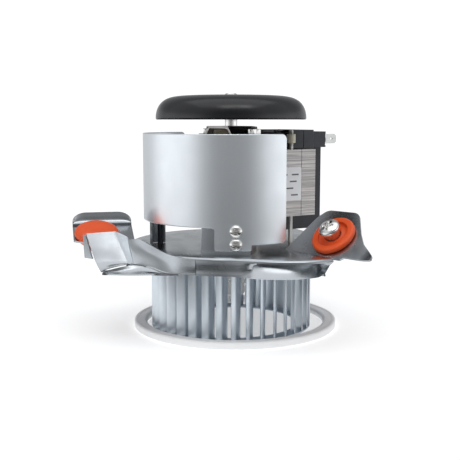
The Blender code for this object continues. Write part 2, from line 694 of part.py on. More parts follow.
def deck_mesh():
    """The deck with its rolled edge, skirt and hem, as a closed ring of sections."""
    azimuths = deck_azimuths()
    outline = []
    for azimuth in azimuths:
        rim, angle = DECK_R + LEG_REACH * leg_swell(azimuth), math.radians(azimuth)
        outline.append(Vector((rim * math.cos(angle), rim * math.sin(angle))))
    bm = bmesh.new()
    sections = []
    for k, azimuth in enumerate(azimuths):
        here, before, after = outline[k], outline[k - 1], outline[(k + 1) % len(outline)]
        first = (here - before).normalized()
        second = (after - here).normalized()
        inward = (Vector((-first.y, first.x)) + Vector((-second.y, second.x))).normalized()
        inward /= max(0.5, inward.dot(Vector((-first.y, first.x))))
        radial = here.normalized()
        hem = hem_swell(azimuth)
        lean = 6.5 * max(0.0, leg_swell(azimuth)) ** 4
        fold_z = SKIRT_Z + 1.6 + 4.4 * hem
        fold, edge = 0.4 + 1.6 * hem + lean, lean - 3.2 * hem
        outer = [(radial * 13.0, DECK_Z), (radial * 40.0, DECK_Z), (here + inward * 2.2, DECK_Z),
                 (here + inward * 0.8, DECK_Z - 0.5), (here + inward * 0.2, DECK_Z - 1.8),
                 (here + inward * fold, fold_z), (here + inward * edge, SKIRT_Z)]
        inner = [(here + inward * (edge + SHEET), SKIRT_Z - 0.2 * hem),
                 (here + inward * (fold + SHEET), fold_z - 0.4 * hem),
                 (here + inward * (0.2 + SHEET), DECK_Z - 2.2),
                 (here + inward * 2.4, DECK_Z - SHEET), (radial * 40.0, DECK_Z - SHEET),
                 (radial * 13.0, DECK_Z - SHEET)]
        sections.append([bm.verts.new((*spot, z)) for spot, z in outer + inner])
    for a, b in zip(sections, sections[1:] + sections[:1]):
        for k in range(len(a)):
            n = (k + 1) % len(a)
            bm.faces.new((a[k], a[n], b[n], b[k]))
    return bm


def ear_axes(normal):
    """Side, up-slope and normal of a tilted ear."""
    n = Vector(normal).normalized()
    up = (Vector((0, 0, 1)) - n * n.z).normalized()
    return up.cross(n), up, n


def ear_matrix(middle, normal):
    """Frame on an ear: origin in the sheet's upper face under the grommet's middle."""
    side, up, n = ear_axes(normal)
    spot = (Vector(middle) - n * GROMMET_RISE) * MM
    matrix = Matrix((side, up, n)).transposed().to_4x4()
    matrix.translation = spot
    return matrix


def right_ear_outline():
    """The folded-up ear, from its root on the deck up to its rounded top and its wing."""
    return rounded([(-30.0, -15.6, 0), (-21.5, 14.0, 14), (-17.0, 20.4, 6), (6.5, 20.4, 7),
                    (16.0, 5.5, 0), (22.0, -2.0, 8), (33.5, -10.5, 3), (34.6, -13.6, 1.0),
                    (15.0, -13.6, 0), (13.0, -15.6, 0)], 4)


def left_ear_outline():
    low_x, high_x = LEFT_EAR_X
    return rounded([(low_x, -7.0, 2), (low_x, 14.5, 3), (high_x, 14.5, 0), (high_x, -6.0, 2),
                    (17.0, -17.5, 0), (-6.0, -17.5, 0)], 4)


def left_curl_rows():
    """The wall behind the left grommet, bent up from its ear, with round upper corners."""
    low_x, high_x = LEFT_EAR_X
    root_y, root_z, corner, height = 13.8, -0.1, 6.0, 8.0
    bend = ((0.0, 0.0), (3.0, 1.8), (4.9, 6.4))      # how far it has gone back and up
    insets = (0.0, 1.2, 3.0, corner)
    stations = [low_x + inset for inset in insets] + [high_x - inset for inset in insets[::-1]]
    rows = [[] for _ in bend]
    for x in stations:
        reach = min(corner, min(x - low_x, high_x - x) + 0.4)
        lift = 1.0 - (corner - math.sqrt(corner ** 2 - (corner - reach) ** 2)) / height
        for row, (back, up) in zip(rows, bend):
            row.append((x, root_y + back * lift, root_z + up * lift))
    return rows


def left_arm_rows():
    """Upper and lower edges of the left leg's front wall, from the deck out to its end flap."""
    top = [(-31.0, -57.6, 53.0), (-44.0, -50.0, 56.5), (-54.0, -43.5, 59.2), (-62.0, -39.5, 60.2),
           (-69.5, -40.5, 64.4), (-86.5, -41.5, 64.6)]
    low = [(-33.0, -57.0, 43.8), (-44.0, -51.5, 44.0), (-53.0, -48.5, 45.6), (-58.0, -50.5, 48.3),
           (-60.0, -51.5, 48.5), (-79.5, -51.0, 48.7)]
    hem = [(-34.0, -59.0, 43.0), (-46.0, -55.5, 43.2), (-56.0, -53.5, 43.8), (-63.0, -54.5, 44.6),
           (-68.0, -55.5, 44.9), (-76.5, -55.5, 44.9)]
    return [hem, low, top]


def left_roof_rows():
    """The left leg's upper surface between the deck, its front wall and its ear."""
    front = [(-38.0, -51.0, 53.7), (-50.0, -44.5, 53.9), (-55.0, -42.0, 54.6), (-61.5, -39.5, 55.6)]
    middle = [(-40.0, -36.0, 53.7), (-50.0, -35.0, 53.9), (-56.0, -34.5, 54.6), (-62.0, -34.0, 57.0)]
    rear = [(-40.0, -27.0, 53.7), (-50.0, -26.0, 53.8), (-56.0, -25.0, 54.9), (-62.5, -25.0, 60.3)]
    return [front, middle, rear]


def add_bracket(shaft_axis, ears):
    bracket = add("mounting_bracket", deck_mesh(), "bracket_steel", shaft_axis)
    for place in ("right", "back"):
        plate = prism(right_ear_outline(), -SHEET, 0.0)
        join(bracket, add(f"{place}_ear", plate, None, ears[place]))
    join(bracket, add("left_ear", prism(left_ear_outline(), -SHEET, 0.0), None, ears["left"]))
    join(bracket, add("left_ear_curl", sheet(left_curl_rows(), SHEET), None, ears["left"]))
    join(bracket, add("left_arm_wall", sheet(left_arm_rows(), SHEET), None, shaft_axis))
    join(bracket, add("left_arm_roof", sheet(left_roof_rows()[::-1], SHEET), None, shaft_axis))
    lug_r = SHIELD_R - SHIELD_WALL - GAP
    lug = lathe([(lug_r - SHEET, DECK_Z - 0.7), (lug_r, DECK_Z - 0.7), (lug_r, 70.6),
                 (lug_r - SHEET, 70.6)], 10, (-108.5, -78.0))
    join(bracket, add("shield_lug", lug, None, shaft_axis))
    for k, height in enumerate(SCREW_ZS):
        hole = laid_forward(drill(2.2, SHIELD_SPAN), height)
        cut(bracket, add(f"lug_hole_{k}", hole, None, shaft_axis))
    spin = Matrix.Rotation(MOTOR_TURN, 2)
    spots = [spin @ Vector((STUD_UV[0], side * STUD_UV[1])) for side in (-1, 1)]
    for k, (x, y) in enumerate([tuple(spot) for spot in spots] + [STRAP_SCREW]):
        cut(bracket, add(f"deck_hole_{k}", shifted(drill(2.3, DECK_SPAN), x, y), None, shaft_axis))
    for place, frame in ears.items():
        hole = drill(GROMMET_GROOVE + GAP, (-8.0, 8.0), 24)
        cut(bracket, add(f"{place}_ear_hole", hole, None, frame))


def add_grommet(place, frame, blind):
    """A two-flanged grommet with its steel sleeve and its domed screw.

    On a blind one, whose screw comes from below, the upper face is closed.
    """
    rise, low = GROMMET_RISE, -SHEET - GAP
    edge, bore = 1.1, 4.9
    foot_r, foot_deep = (11.5, 1.6) if blind else (GROMMET_R, rise - GAP)
    drop = low - foot_deep
    flange = [(foot_r - edge, drop), (foot_r, drop + edge), (foot_r, low - 0.3),
              (foot_r - 0.3, low), (GROMMET_GROOVE, low), (GROMMET_GROOVE, GAP),
              (GROMMET_R - 0.3, GAP), (GROMMET_R, GAP + 0.3), (GROMMET_R, rise - edge),
              (GROMMET_R - edge, rise)]
    if blind:
        spring, crown, ceiling, steps = 1.2, rise + 2.2, 1.0, 6
        dome = []
        for k in range(steps):
            angle = 0.5 * math.pi * k / steps
            dome.append((GROMMET_R * math.cos(angle) ** 0.6,
                         spring + (crown - spring) * math.sin(angle)))
        profile = [(bore, drop)] + flange[:-2] + dome + [(0.0, crown), (0.0, ceiling),
                                                         (bore, ceiling)]
    else:
        profile = [(bore, drop)] + flange + [(9.6, rise), (8.8, rise - 1.8), (bore, rise - 1.8)]
    add(f"{place}_grommet", lathe(profile, 24), "silicone", frame, 40)
    inner, outer = 2.8, 4.6
    sleeve = [(inner, drop - 1.0), (outer, drop - 1.0), (outer, rise + 3.2), (inner, rise + 3.2)]
    head_low = rise + 3.5
    screw = [(0.0, -16.0), (2.0, -16.0), (2.4, -15.4), (2.4, head_low), (6.4, head_low),
             (6.4, head_low + 0.7), (5.4, head_low + 2.1), (3.6, head_low + 3.2),
             (1.6, head_low + 3.7), (0.0, head_low + 3.8)]
    if blind:
        shift = -SHEET
        bottom = shift - rise - 3.2
        sleeve = [(inner, 0.7), (outer, 0.7), (outer, bottom), (inner, bottom)]
        screw = [(r, shift - z) for r, z in screw]
        tip = -0.2
        screw = [(0.0, tip), (2.0, tip), (2.4, tip - 0.6)] + screw[3:]
    add(f"{place}_grommet_sleeve", lathe(sleeve, 16), "plated_steel", frame, 35)
    add(f"{place}_mounting_screw", lathe(screw, 16), "bright_steel", frame, 35)


def build():
    clear_scene()
    shaft_axis = empty("shaft_axis", None, Matrix.Translation((SHAFT_X * MM, SHAFT_Y * MM, 0.0)))
    rotor = empty("rotor_axis", shaft_axis)
    motor = empty("motor_frame", shaft_axis, Matrix.Rotation(MOTOR_TURN, 4, "Z"))
    right = ear_matrix(*EAR_RIGHT)
    ears = {
        "right": empty("right_ear_frame", shaft_axis, right),
        "left": empty("left_ear_frame", shaft_axis, ear_matrix(*EAR_LEFT)),
        "back": empty("back_ear_frame", shaft_axis, Matrix.Rotation(EAR_BACK_TURN, 4, "Z") @ right),
    }
    add_bracket(shaft_axis, ears)
    for place, frame in ears.items():
        add_grommet(place, frame, place == "left")
    add_shield(shaft_axis)
    add_core(motor)
    add_coil(motor)
    add_terminals(motor)
    add_bearing_end(motor, "upper", 121.8, 126.8, (119.9, 126.4), (120.3, 126.3), (118.7, 119.5))
    add_bearing_end(motor, "lower", 64.0, 58.6, (60.5, 65.3), (60.5, 65.1), (65.5, 66.3))
    add_bolts(motor)
    add_studs(motor, shaft_axis)
    add_label(motor)
    add_shaft(rotor)
    add_cooling_fan(rotor)
    add_rotor(rotor)
    add_wheel(rotor)
    ring = disc_profile(GASKET_INNER, GASKET_OUTER, 0.0, GASKET_Z, 0.8)
    add("gasket_ring", shifted(lathe(ring, 60), GASKET_SHIFT), "gasket", shaft_axis, 40)


build()
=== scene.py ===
"""Looks of the combustion fan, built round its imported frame.

Shapes are made in millimetres in the shaft's frame, in the motor's turned frame or in the frame
of one ear, and one matrix takes each of them into the row frame. Places come from the frame's
node boxes and mounts.
"""
import json
import math

import bmesh
import bpy
from mathutils import Matrix, Vector


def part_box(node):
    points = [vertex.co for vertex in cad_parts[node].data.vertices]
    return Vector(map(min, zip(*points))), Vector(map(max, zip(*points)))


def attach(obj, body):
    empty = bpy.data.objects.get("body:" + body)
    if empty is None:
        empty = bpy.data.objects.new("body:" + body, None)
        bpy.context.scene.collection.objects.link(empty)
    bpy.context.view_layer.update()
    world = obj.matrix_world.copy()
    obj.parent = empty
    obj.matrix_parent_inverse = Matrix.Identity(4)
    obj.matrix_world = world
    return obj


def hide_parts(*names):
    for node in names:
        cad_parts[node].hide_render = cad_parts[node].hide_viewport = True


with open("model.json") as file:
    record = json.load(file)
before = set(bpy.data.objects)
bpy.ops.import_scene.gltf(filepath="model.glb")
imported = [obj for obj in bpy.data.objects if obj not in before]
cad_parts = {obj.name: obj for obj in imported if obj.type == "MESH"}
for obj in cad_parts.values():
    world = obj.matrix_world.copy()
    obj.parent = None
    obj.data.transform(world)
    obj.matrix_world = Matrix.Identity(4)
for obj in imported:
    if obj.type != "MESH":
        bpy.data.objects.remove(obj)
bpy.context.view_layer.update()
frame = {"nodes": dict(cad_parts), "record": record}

MM = 0.001
GAP = 0.3       # clearance between neighbouring pieces
SHEET = 1.2     # gauge of the bracket's steel


def middle(node):
    low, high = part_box(node)
    return (Vector(low) + Vector(high)) / 2.0


def top(node):
    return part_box(node)[1][2] / MM


def bottom(node):
    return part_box(node)[0][2] / MM


SHAFT_AXIS = Vector((*middle("motor_shaft")[:2], 0.0))
SHAFT_FRAME = Matrix.Translation(SHAFT_AXIS) @ Matrix.Scale(MM, 4)
MOTOR_TURN = math.radians(30.0)
MOTOR_FRAME = SHAFT_FRAME @ Matrix.Rotation(MOTOR_TURN, 4, "Z")
STRAP_SPOT = Vector((middle("strap_screw") - SHAFT_AXIS)[:2]) / MM
UPRIGHT = Matrix(((1, 0, 0, 0), (0, 0, 1, 0), (0, 1, 0, 0), (0, 0, 0, 1)))      # swaps y and z
MOUNTS = {mount["name"]: mount for mount in frame["record"]["mounts"]}


def ear_frame(place):
    """Frame on an ear: its origin in the sheet's upper face under the grommet's middle."""
    n = -Vector(MOUNTS[f"{place}_leg_seat"]["axis"]).normalized()
    up = (Vector((0, 0, 1)) - n * n.z).normalized()
    matrix = Matrix((up.cross(n), up, n)).transposed().to_4x4()
    sleeve_middle = -3.55 if place == "left" else 0.5      # along n, from the sheet's upper face
    matrix.translation = middle(f"{place}_grommet_sleeve") - n * sleeve_middle * MM
    return matrix @ Matrix.Scale(MM, 4)


def motor_spot(u, v):
    """A place in the motor's turned frame, seen from the shaft's frame."""
    return Matrix.Rotation(MOTOR_TURN, 2) @ Vector((u, v))


EARS = {place: ear_frame(place) for place in ("right", "left", "back")}

# Driving sizes of the design, in millimetres about the shaft
SHAFT_R = 3.97
BORE_R = SHAFT_R + GAP
FAN_R = 47.75
FAN_RIM_Z, FAN_RISE, FAN_WALL = bottom("cooling_fan"), 15.1, 1.8
SHIELD_R, SHIELD_WALL = 56.0, 0.9
SHIELD_LOW, SHIELD_HIGH = 69.7, top("heat_shield")
DECK_Z, SKIRT_Z, DECK_R, LEG_REACH = 54.0, 43.5, 66.0, 22.0
WHEEL_R, BLADES = 51.7, 36
STACK_LOW, STACK_HIGH = bottom("stator_core"), top("stator_core")
CORE_V, POLE_R, COIL_REACH = 26.0, 19.5, 60.9
CORE_U, YOKE_U = (-28.0, 36.7), (37.0, 47.6)
STUD_UV, BOLT_UV = (31.7, 21.5), (4.5, 21.0)
GROMMET_R, GROMMET_RISE = 13.5, 3.4


# ---- materials

MATERIALS = {}


def feed(tree, socket, value):
    """Link a socket from another one, or set it to a value."""
    if isinstance(value, bpy.types.NodeSocket):
        tree.links.new(value, socket)
    elif socket.type == "RGBA":
        socket.default_value = (*value, 1.0)
    else:
        socket.default_value = value


def shader_node(tree, kind, **inputs):
    made = tree.nodes.new(kind)
    for key, value in inputs.items():
        feed(tree, made.inputs[key.replace("_", " ")], value)
    return made


def start_material(name, **constants):
    """A material with constants on its shader, filed under its name."""
    MATERIALS[name] = material = bpy.data.materials.new(name)
    material.use_nodes = True
    tree = material.node_tree
    shader = tree.nodes["Principled BSDF"]
    for key, value in constants.items():
        feed(tree, shader.inputs[key.replace("_", " ")], value)
    return tree, shader


def grain(tree, scale, detail=3.0, stretch=(1.0, 1.0, 1.0)):
    """Noise on the piece's own coordinates; scale is in features per metre."""
    place = shader_node(tree, "ShaderNodeTexCoord").outputs["Object"]
    mapped = shader_node(tree, "ShaderNodeMapping", Vector=place, Scale=stretch)
    made = shader_node(tree, "ShaderNodeTexNoise", Vector=mapped.outputs["Vector"],
                       Scale=scale, Detail=detail)
    return made.outputs["Fac"]


def spread(tree, factor, low, high, start=0.3, stop=0.7, curve="LINEAR"):
    """Map a factor's range from start to stop onto a range of numbers."""
    made = shader_node(tree, "ShaderNodeMapRange", Value=factor, From_Min=start, From_Max=stop,
                       To_Min=low, To_Max=high)
    made.interpolation_type = curve
    return made.outputs["Result"]


def blend_colors(tree, factor, first, second):
    made = tree.nodes.new("ShaderNodeMix")
    made.data_type = "RGBA"
    for index, value in ((0, factor), (6, first), (7, second)):
        feed(tree, made.inputs[index], value)
    return made.outputs[2]


def dress(tree, shader, color, roughness, height, strength, distance):
    """Drive the shader's colour and gloss, and press a height into its surface."""
    bump = shader_node(tree, "ShaderNodeBump", Height=height, Strength=strength, Distance=distance)
    for key, source in (("Base Color", color), ("Roughness", roughness), ("Normal", bump.outputs["Normal"])):
        tree.links.new(source, shader.inputs[key])


def tinted(color, gain):
    return tuple(min(1.0, part * gain) for part in color)


def metal(name, color, roughness, contrast=0.08, haze=0.08, cloud=45.0, brushing=(1.0, 1.0, 1.0),
          depth=0.00002, streaks=0.3):
    """Sheet or plated metal: cloudy colour, uneven gloss and fine brushing."""
    tree, shader = start_material(name, Metallic=1.0)
    clouds = grain(tree, cloud, 4.0)
    lines = grain(tree, 900.0, 2.0, brushing)
    tone = blend_colors(tree, clouds, tinted(color, 1.0 - contrast), tinted(color, 1.0 + contrast))
    dress(tree, shader,
          blend_colors(tree, spread(tree, lines, 0.0, streaks), tone, tinted(color, 0.86)),
          spread(tree, grain(tree, cloud * 3.1, 5.0), roughness - haze, roughness + haze),
          lines, 0.25, depth)


def lamination():
    """Edges of stacked steel sheets: thin level layers, each a little different."""
    tree, shader = start_material("lamination", Metallic=1.0)
    layers = grain(tree, 1.0, 2.0, (30.0, 30.0, 1500.0))
    patches = grain(tree, 60.0, 3.0)
    tone = blend_colors(tree, spread(tree, layers, 0.0, 1.0, 0.35, 0.65),
                        (0.40, 0.38, 0.38), (0.84, 0.81, 0.80))
    dress(tree, shader, blend_colors(tree, spread(tree, patches, 0.0, 0.4), tone, (0.50, 0.47, 0.45)),
          spread(tree, layers, 0.42, 0.58), layers, 0.5, 0.00006)


def plastic(name, color, roughness, mottle=0.25, texture=1400.0, depth=0.00002, haze=0.05,
            **constants):
    """Moulded plastic or rubber: slight mottle, uneven gloss and a fine moulded texture."""
    tree, shader = start_material(name, **constants)
    clouds = grain(tree, 70.0, 3.0)
    dress(tree, shader,
          blend_colors(tree, clouds, tinted(color, 1.0 - mottle), tinted(color, 1.0 + mottle)),
          spread(tree, grain(tree, 160.0, 4.0), roughness - haze, roughness + haze),
          grain(tree, texture, 2.0), 0.3, depth)


def winding_tape():
    """Cloth tape round the coil: a close diagonal weave, darkened by varnish."""
    tree, shader = start_material("winding")
    place = shader_node(tree, "ShaderNodeTexCoord").outputs["Object"]
    wave = shader_node(tree, "ShaderNodeTexWave", Vector=place, Scale=420.0, Distortion=1.5)
    weave = wave.outputs["Fac"]
    dress(tree, shader, blend_colors(tree, weave, (0.018, 0.018, 0.024), (0.05, 0.05, 0.06)),
          spread(tree, grain(tree, 120.0), 0.32, 0.55), weave, 0.4, 0.00005)


def felt():
    """Oiled felt: short crossed fibres."""
    tree, shader = start_material("felt", Sheen_Weight=0.4)
    fibres = grain(tree, 500.0, 6.0, (1.0, 1.0, 4.0))
    color = (0.50, 0.42, 0.30)
    dress(tree, shader, blend_colors(tree, fibres, tinted(color, 0.6), tinted(color, 1.2)),
          spread(tree, fibres, 0.85, 1.0), fibres, 0.8, 0.0002)


metal("shield_steel", (0.86, 0.90, 0.935), 0.33, contrast=0.03, haze=0.03, cloud=30.0,
      brushing=(1.0, 1.0, 0.05), depth=0.000004, streaks=0.1)
metal("bracket_steel", (0.44, 0.465, 0.49), 0.24, haze=0.04, cloud=38.0, brushing=(0.2, 1.0, 1.0),
      depth=0.000006, streaks=0.15)
metal("plated_steel", (0.66, 0.64, 0.61), 0.34, contrast=0.10, haze=0.10)
metal("bright_steel", (0.82, 0.81, 0.79), 0.14, contrast=0.05, haze=0.06)
metal("tinned_brass", (0.68, 0.68, 0.67), 0.36, contrast=0.03, haze=0.05, cloud=60.0)
metal("stud_steel", (0.72, 0.71, 0.68), 0.34)
lamination()
metal("galvanised", (0.63, 0.68, 0.73), 0.36, contrast=0.05, haze=0.06, cloud=90.0,
      brushing=(1.0, 1.0, 0.08), depth=0.000006, streaks=0.15)
metal("aluminium", (0.74, 0.75, 0.76), 0.36, contrast=0.06)
metal("copper", (0.80, 0.42, 0.26), 0.28, contrast=0.12)
metal("bronze", (0.50, 0.34, 0.18), 0.46, contrast=0.18, depth=0.0001)
plastic("fan_plastic", (0.0085, 0.0088, 0.0115), 0.24, mottle=0.2, texture=900.0, depth=0.00001,
        haze=0.04)
plastic("black_plastic", (0.016, 0.018, 0.026), 0.34, mottle=0.2, texture=1500.0, depth=0.00003)
winding_tape()
plastic("nylon", (0.78, 0.74, 0.60), 0.42, mottle=0.08)
felt()
plastic("silicone", (0.92, 0.105, 0.012), 0.42, mottle=0.07, texture=700.0, depth=0.00003, haze=0.08,
        Subsurface_Weight=0.12, Subsurface_Scale=0.003)
plastic("label", (0.95, 0.96, 0.98), 0.45, mottle=0.02)
plastic("label_ink", (0.16, 0.16, 0.17), 0.60, mottle=0.15)
plastic("gasket", (0.94, 0.945, 0.95), 0.62, mottle=0.02, texture=420.0, depth=0.00012, haze=0.08)


# ---- shapes

def new_object(name, bm):
    mesh = bpy.data.meshes.new(name)
    bm.to_mesh(mesh)
    bm.free()
    thing = bpy.data.objects.new(name, mesh)
    bpy.context.scene.collection.objects.link(thing)
    return thing


def piece(name, bm, finish, body="frame", matrix=SHAFT_FRAME, stands_for=None, smooth=35.0,
          bevel=0.0):
    """Turn a bmesh in millimetres into a named piece that rides on a body."""
    bmesh.ops.recalc_face_normals(bm, faces=bm.faces)
    bm.transform(matrix)
    thing = new_object(name, bm)
    thing.data.materials.append(MATERIALS[finish])
    thing.data.shade_smooth()
    thing.data.set_sharp_from_angle(angle=math.radians(smooth))
    if bevel:
        round_edges(thing, bevel)
    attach(thing, body)
    if stands_for:
        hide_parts(stands_for)
    return thing


def round_edges(thing, width):
    modifier = thing.modifiers.new("edges", "BEVEL")
    modifier.width = width * MM
    modifier.segments = 2
    modifier.limit_method = "ANGLE"
    modifier.angle_limit = math.radians(40.0)


def boolean(bm, others, operation="DIFFERENCE"):
    """Cut shapes out of a bmesh, or unite them with it, and return the result as a bmesh."""
    shapes = []
    for shape in (bm, *others):
        bmesh.ops.recalc_face_normals(shape, faces=shape.faces)
        shapes.append(new_object("scratch", shape))
    for other in shapes[1:]:
        modifier = shapes[0].modifiers.new("boolean", "BOOLEAN")
        modifier.object = other
        modifier.operation = operation
        modifier.solver = "EXACT"
    graph = bpy.context.evaluated_depsgraph_get()
    result = bmesh.new()
    result.from_mesh(shapes[0].evaluated_get(graph).to_mesh())
    for thing in shapes:
        bpy.data.objects.remove(thing, do_unlink=True)
    return result


def combined(*parts):
    """Several closed shapes as the shells of one bmesh."""
    whole = bmesh.new()
    for part in parts:
        mesh = bpy.data.meshes.new("part")
        bmesh.ops.recalc_face_normals(part, faces=part.faces)
        part.to_mesh(mesh)
        part.free()
        whole.from_mesh(mesh)
        bpy.data.meshes.remove(mesh)
    return whole


def moved(bm, matrix):
    bm.transform(matrix)
    return bm


def shifted(bm, x=0.0, y=0.0, z=0.0):
    return moved(bm, Matrix.Translation((x, y, z)))


def polar(radius, angle, z):
    return Vector((radius * math.cos(angle), radius * math.sin(angle), z))


def loft(rings, close=False, caps=False):
    """Join rings of points by faces; a ring may be a single point, and the ends may be filled."""
    bm = bmesh.new()
    sides = max(len(ring) for ring in rings)
    rows = []
    for ring in rings:
        verts = [bm.verts.new(spot) for spot in ring]
        rows.append(verts * sides if len(verts) == 1 else verts)
    for a, b in zip(rows, rows[1:] + rows[:1] if close else rows[1:]):
        for k in range(sides):
            n = (k + 1) % sides
            corners = list(dict.fromkeys((a[k], a[n], b[n], b[k])))
            if len(corners) > 2:
                bm.faces.new(corners)
    if caps:
        bm.faces.new(rows[0])
        bm.faces.new(rows[-1])
    return bm


def lathe(profile, steps=96, warp=None):
    """Revolve a closed (radius, height) outline; warp may move each point."""
    rings = []
    for radius, height in profile:
        ring = [polar(radius, math.tau * k / steps, height) for k in range(steps if radius else 1)]
        rings.append([warp(spot) for spot in ring] if warp else ring)
    return loft(rings, close=True)


def prism(outline, low, high):
    return loft([[(x, y, z) for x, y in outline] for z in (low, high)], caps=True)


def rounded(corners, arc_steps=8):
    """Round each (x, y, radius) corner of an outline with an arc."""
    outline = []
    for k, (x, y, radius) in enumerate(corners):
        here = Vector((x, y))
        before = (Vector(corners[k - 1][:2]) - here).normalized()
        after = (Vector(corners[(k + 1) % len(corners)][:2]) - here).normalized()
        if radius == 0.0:
            outline.append((x, y))
            continue
        half = before.angle(after) / 2.0
        start = here + before * (radius / math.tan(half))
        stop = here + after * (radius / math.tan(half))
        centre = here + (before + after).normalized() * (radius / math.sin(half))
        first, last = start - centre, stop - centre
        sweep = first.angle_signed(last)
        for step in range(arc_steps + 1):
            turned = first.copy()
            turned.rotate(Matrix.Rotation(-sweep * step / arc_steps, 2))
            outline.append(tuple(centre + turned))
    return outline


def mirrored(half):
    """Complete a row of (x, y, radius) corners with its reflection in y = 0."""
    return half + [(x, -y, radius) for x, y, radius in half[::-1]]


def rectangle(x, y, radius=0.0, arc_steps=4):
    corners = ((x[0], y[0]), (x[1], y[0]), (x[1], y[1]), (x[0], y[1]))
    return rounded([(*corner, radius) for corner in corners], arc_steps)


def block(x, y, z):
    return prism(rectangle(x, y), *z)


def pipe(inner, outer, low, high, steps):
    """A straight tube about the z axis, or a cylinder where inner is 0."""
    return lathe(rectangle((inner, outer), (low, high)), steps)


def arc(centre, radius, start, stop, steps):
    """Points on an arc of a profile, angles in degrees."""
    points = []
    for k in range(steps + 1):
        angle = math.radians(start + (stop - start) * k / steps)
        points.append((centre[0] + radius * math.cos(angle), centre[1] + radius * math.sin(angle)))
    return points


def smooth_line(points, steps):
    """A smooth curve through points, with that many steps between each two."""
    line = [Vector(point) for point in points]
    line = [line[0] * 2 - line[1]] + line + [line[-1] * 2 - line[-2]]
    curve = []
    for a, b, c, d in zip(line, line[1:], line[2:], line[3:]):
        for step in range(steps):
            t = step / steps
            curve.append(0.5 * (2 * b + (c - a) * t + (2 * a - 5 * b + 4 * c - d) * t ** 2
                                + (3 * b - a - 3 * c + d) * t ** 3))
    return curve + [line[-2]]


def smooth_grid(rows, along, across):
    """Refine rows of points both ways into a smooth grid."""
    fine = [smooth_line(row, along) for row in rows]
    columns = [smooth_line(column, across) for column in zip(*fine)]
    return [list(row) for row in zip(*columns)]


def sheet(grid, thickness):
    """A sheet of metal through a grid of points, thickened against its normals."""
    bm = bmesh.new()
    verts = [[bm.verts.new(point) for point in row] for row in grid]
    for a, b in zip(verts, verts[1:]):
        for k in range(len(a) - 1):
            bm.faces.new((a[k], a[k + 1], b[k + 1], b[k]))
    bm.normal_update()
    spots = {vert: vert.co - vert.normal * thickness for vert in bm.verts}
    twin = {vert: bm.verts.new(spot) for vert, spot in spots.items()}
    border = [edge for edge in bm.edges if edge.is_boundary]
    for face in list(bm.faces):
        bm.faces.new([twin[vert] for vert in reversed(face.verts)])
    for edge in border:
        a, b = edge.verts
        bm.faces.new((a, b, twin[b], twin[a]))
    return bm


def tube(points, radius, sides):
    """A round cord along a line of points."""
    line = [Vector(point) for point in points]
    rings = []
    for k, here in enumerate(line):
        ahead = line[min(k + 1, len(line) - 1)] - line[max(k - 1, 0)]
        turn = ahead.to_track_quat("Z", "Y")
        rings.append([here + turn @ polar(radius, math.tau * side / sides, 0.0) for side in range(sides)])
    return loft(rings, caps=True)


def corner_normal(before, here, after, least):
    """Left-hand normal at an outline's corner, longer where the corner is sharp."""
    first, second = (here - before).normalized(), (after - here).normalized()
    normal = (first.orthogonal() + second.orthogonal()).normalized()
    return normal / max(least, normal.dot(first.orthogonal()))


def smoothstep(x):
    x = min(1.0, max(0.0, x))
    return x * x * (3.0 - 2.0 * x)


def threaded_rod(radius, low, high, pitch=0.9, depth=0.35, steps=24):
    """A rod with a helical thread; its ends are plain."""
    count = max(4, round((high - low) / pitch * 6))
    rings = [[(0, 0, low)]]
    for k in range(count + 1):
        z = low + (high - low) * k / count
        full = smoothstep(min(z - low, high - z) / pitch)
        ring = []
        for side in range(steps):
            phase = (z / pitch - side / steps) % 1.0
            r = radius - depth * (1.0 - full * (1.0 - abs(2.0 * phase - 1.0)))
            ring.append(polar(r, math.tau * side / steps, z))
        rings.append(ring)
    return loft(rings + [[(0, 0, high)]])


def hex_nut(flats, low, high, bore, steps=72):
    """A hexagonal nut with chamfered corners and a countersunk bore."""
    half, wide, sink = flats / 2.0, flats / math.sqrt(3.0), 0.3
    cap = half * 1.02
    drop = (wide - cap) * 0.58
    stations = [(bore + sink, low, False), (cap, low, False), (wide, low + drop, True),
                (wide, high - drop, True), (cap, high, False), (bore + sink, high, False),
                (bore, high - sink, False), (bore, low + sink, False)]
    rings = []
    for radius, z, six_sided in stations:
        ring = []
        for k in range(steps):
            angle = math.tau * k / steps
            r, height = radius, z
            if six_sided:
                r = half / math.cos((angle % math.radians(60.0)) - math.radians(30.0))
                share = (wide - r) / (wide - half)
                height += (drop * share * 0.8) * (-1 if z < (low + high) / 2 else 1)
            ring.append(polar(r, angle, height))
        rings.append(ring)
    return loft(rings, close=True)


def cross_recess(arm, width, depth, face):
    """A warp that presses a cross into the head of a screw."""
    def press(spot):
        reach = math.hypot(spot.x, spot.y)
        if spot.z < face or reach > arm * 1.2:
            return spot
        taper = width * (1.0 - 0.35 * reach / arm)
        inside = max(smoothstep((taper - abs(spot.x)) / (0.35 * width) + 0.5),
                     smoothstep((taper - abs(spot.y)) / (0.35 * width) + 0.5))
        fall = smoothstep((arm - reach) / (0.55 * arm))
        return Vector((spot.x, spot.y, spot.z - depth * inside * fall))
    return press


def pan_head(radius, height, low, steps=128):
    """A domed head on top of low, with steps fine enough for its cross recess."""
    profile = [(0.0, low), (radius - 0.2, low), (radius, low + 0.2), (radius, low + 0.28 * height)]
    count = 26
    for k in range(1, count):
        angle = 0.5 * math.pi * k / count
        profile.append((radius * math.cos(angle), low + height * (0.28 + 0.72 * math.sin(angle) ** 0.8)))
    profile.append((0.0, low + height))
    recess = cross_recess(radius * 0.58, radius * 0.15, height * 0.55, low + 0.3 * height)
    return lathe(profile, steps, recess)


# ---- cooling fan

def dome_curve(radius, rise, low, steps):
    """Dome from rim to crown: nearly flat on top with a tight rounded shoulder."""
    points = []
    for k in range(steps):
        angle = 0.5 * math.pi * (1.0 - k / steps)
        points.append((radius * math.sin(angle) ** 0.25, low + rise * math.cos(angle)))
    return points


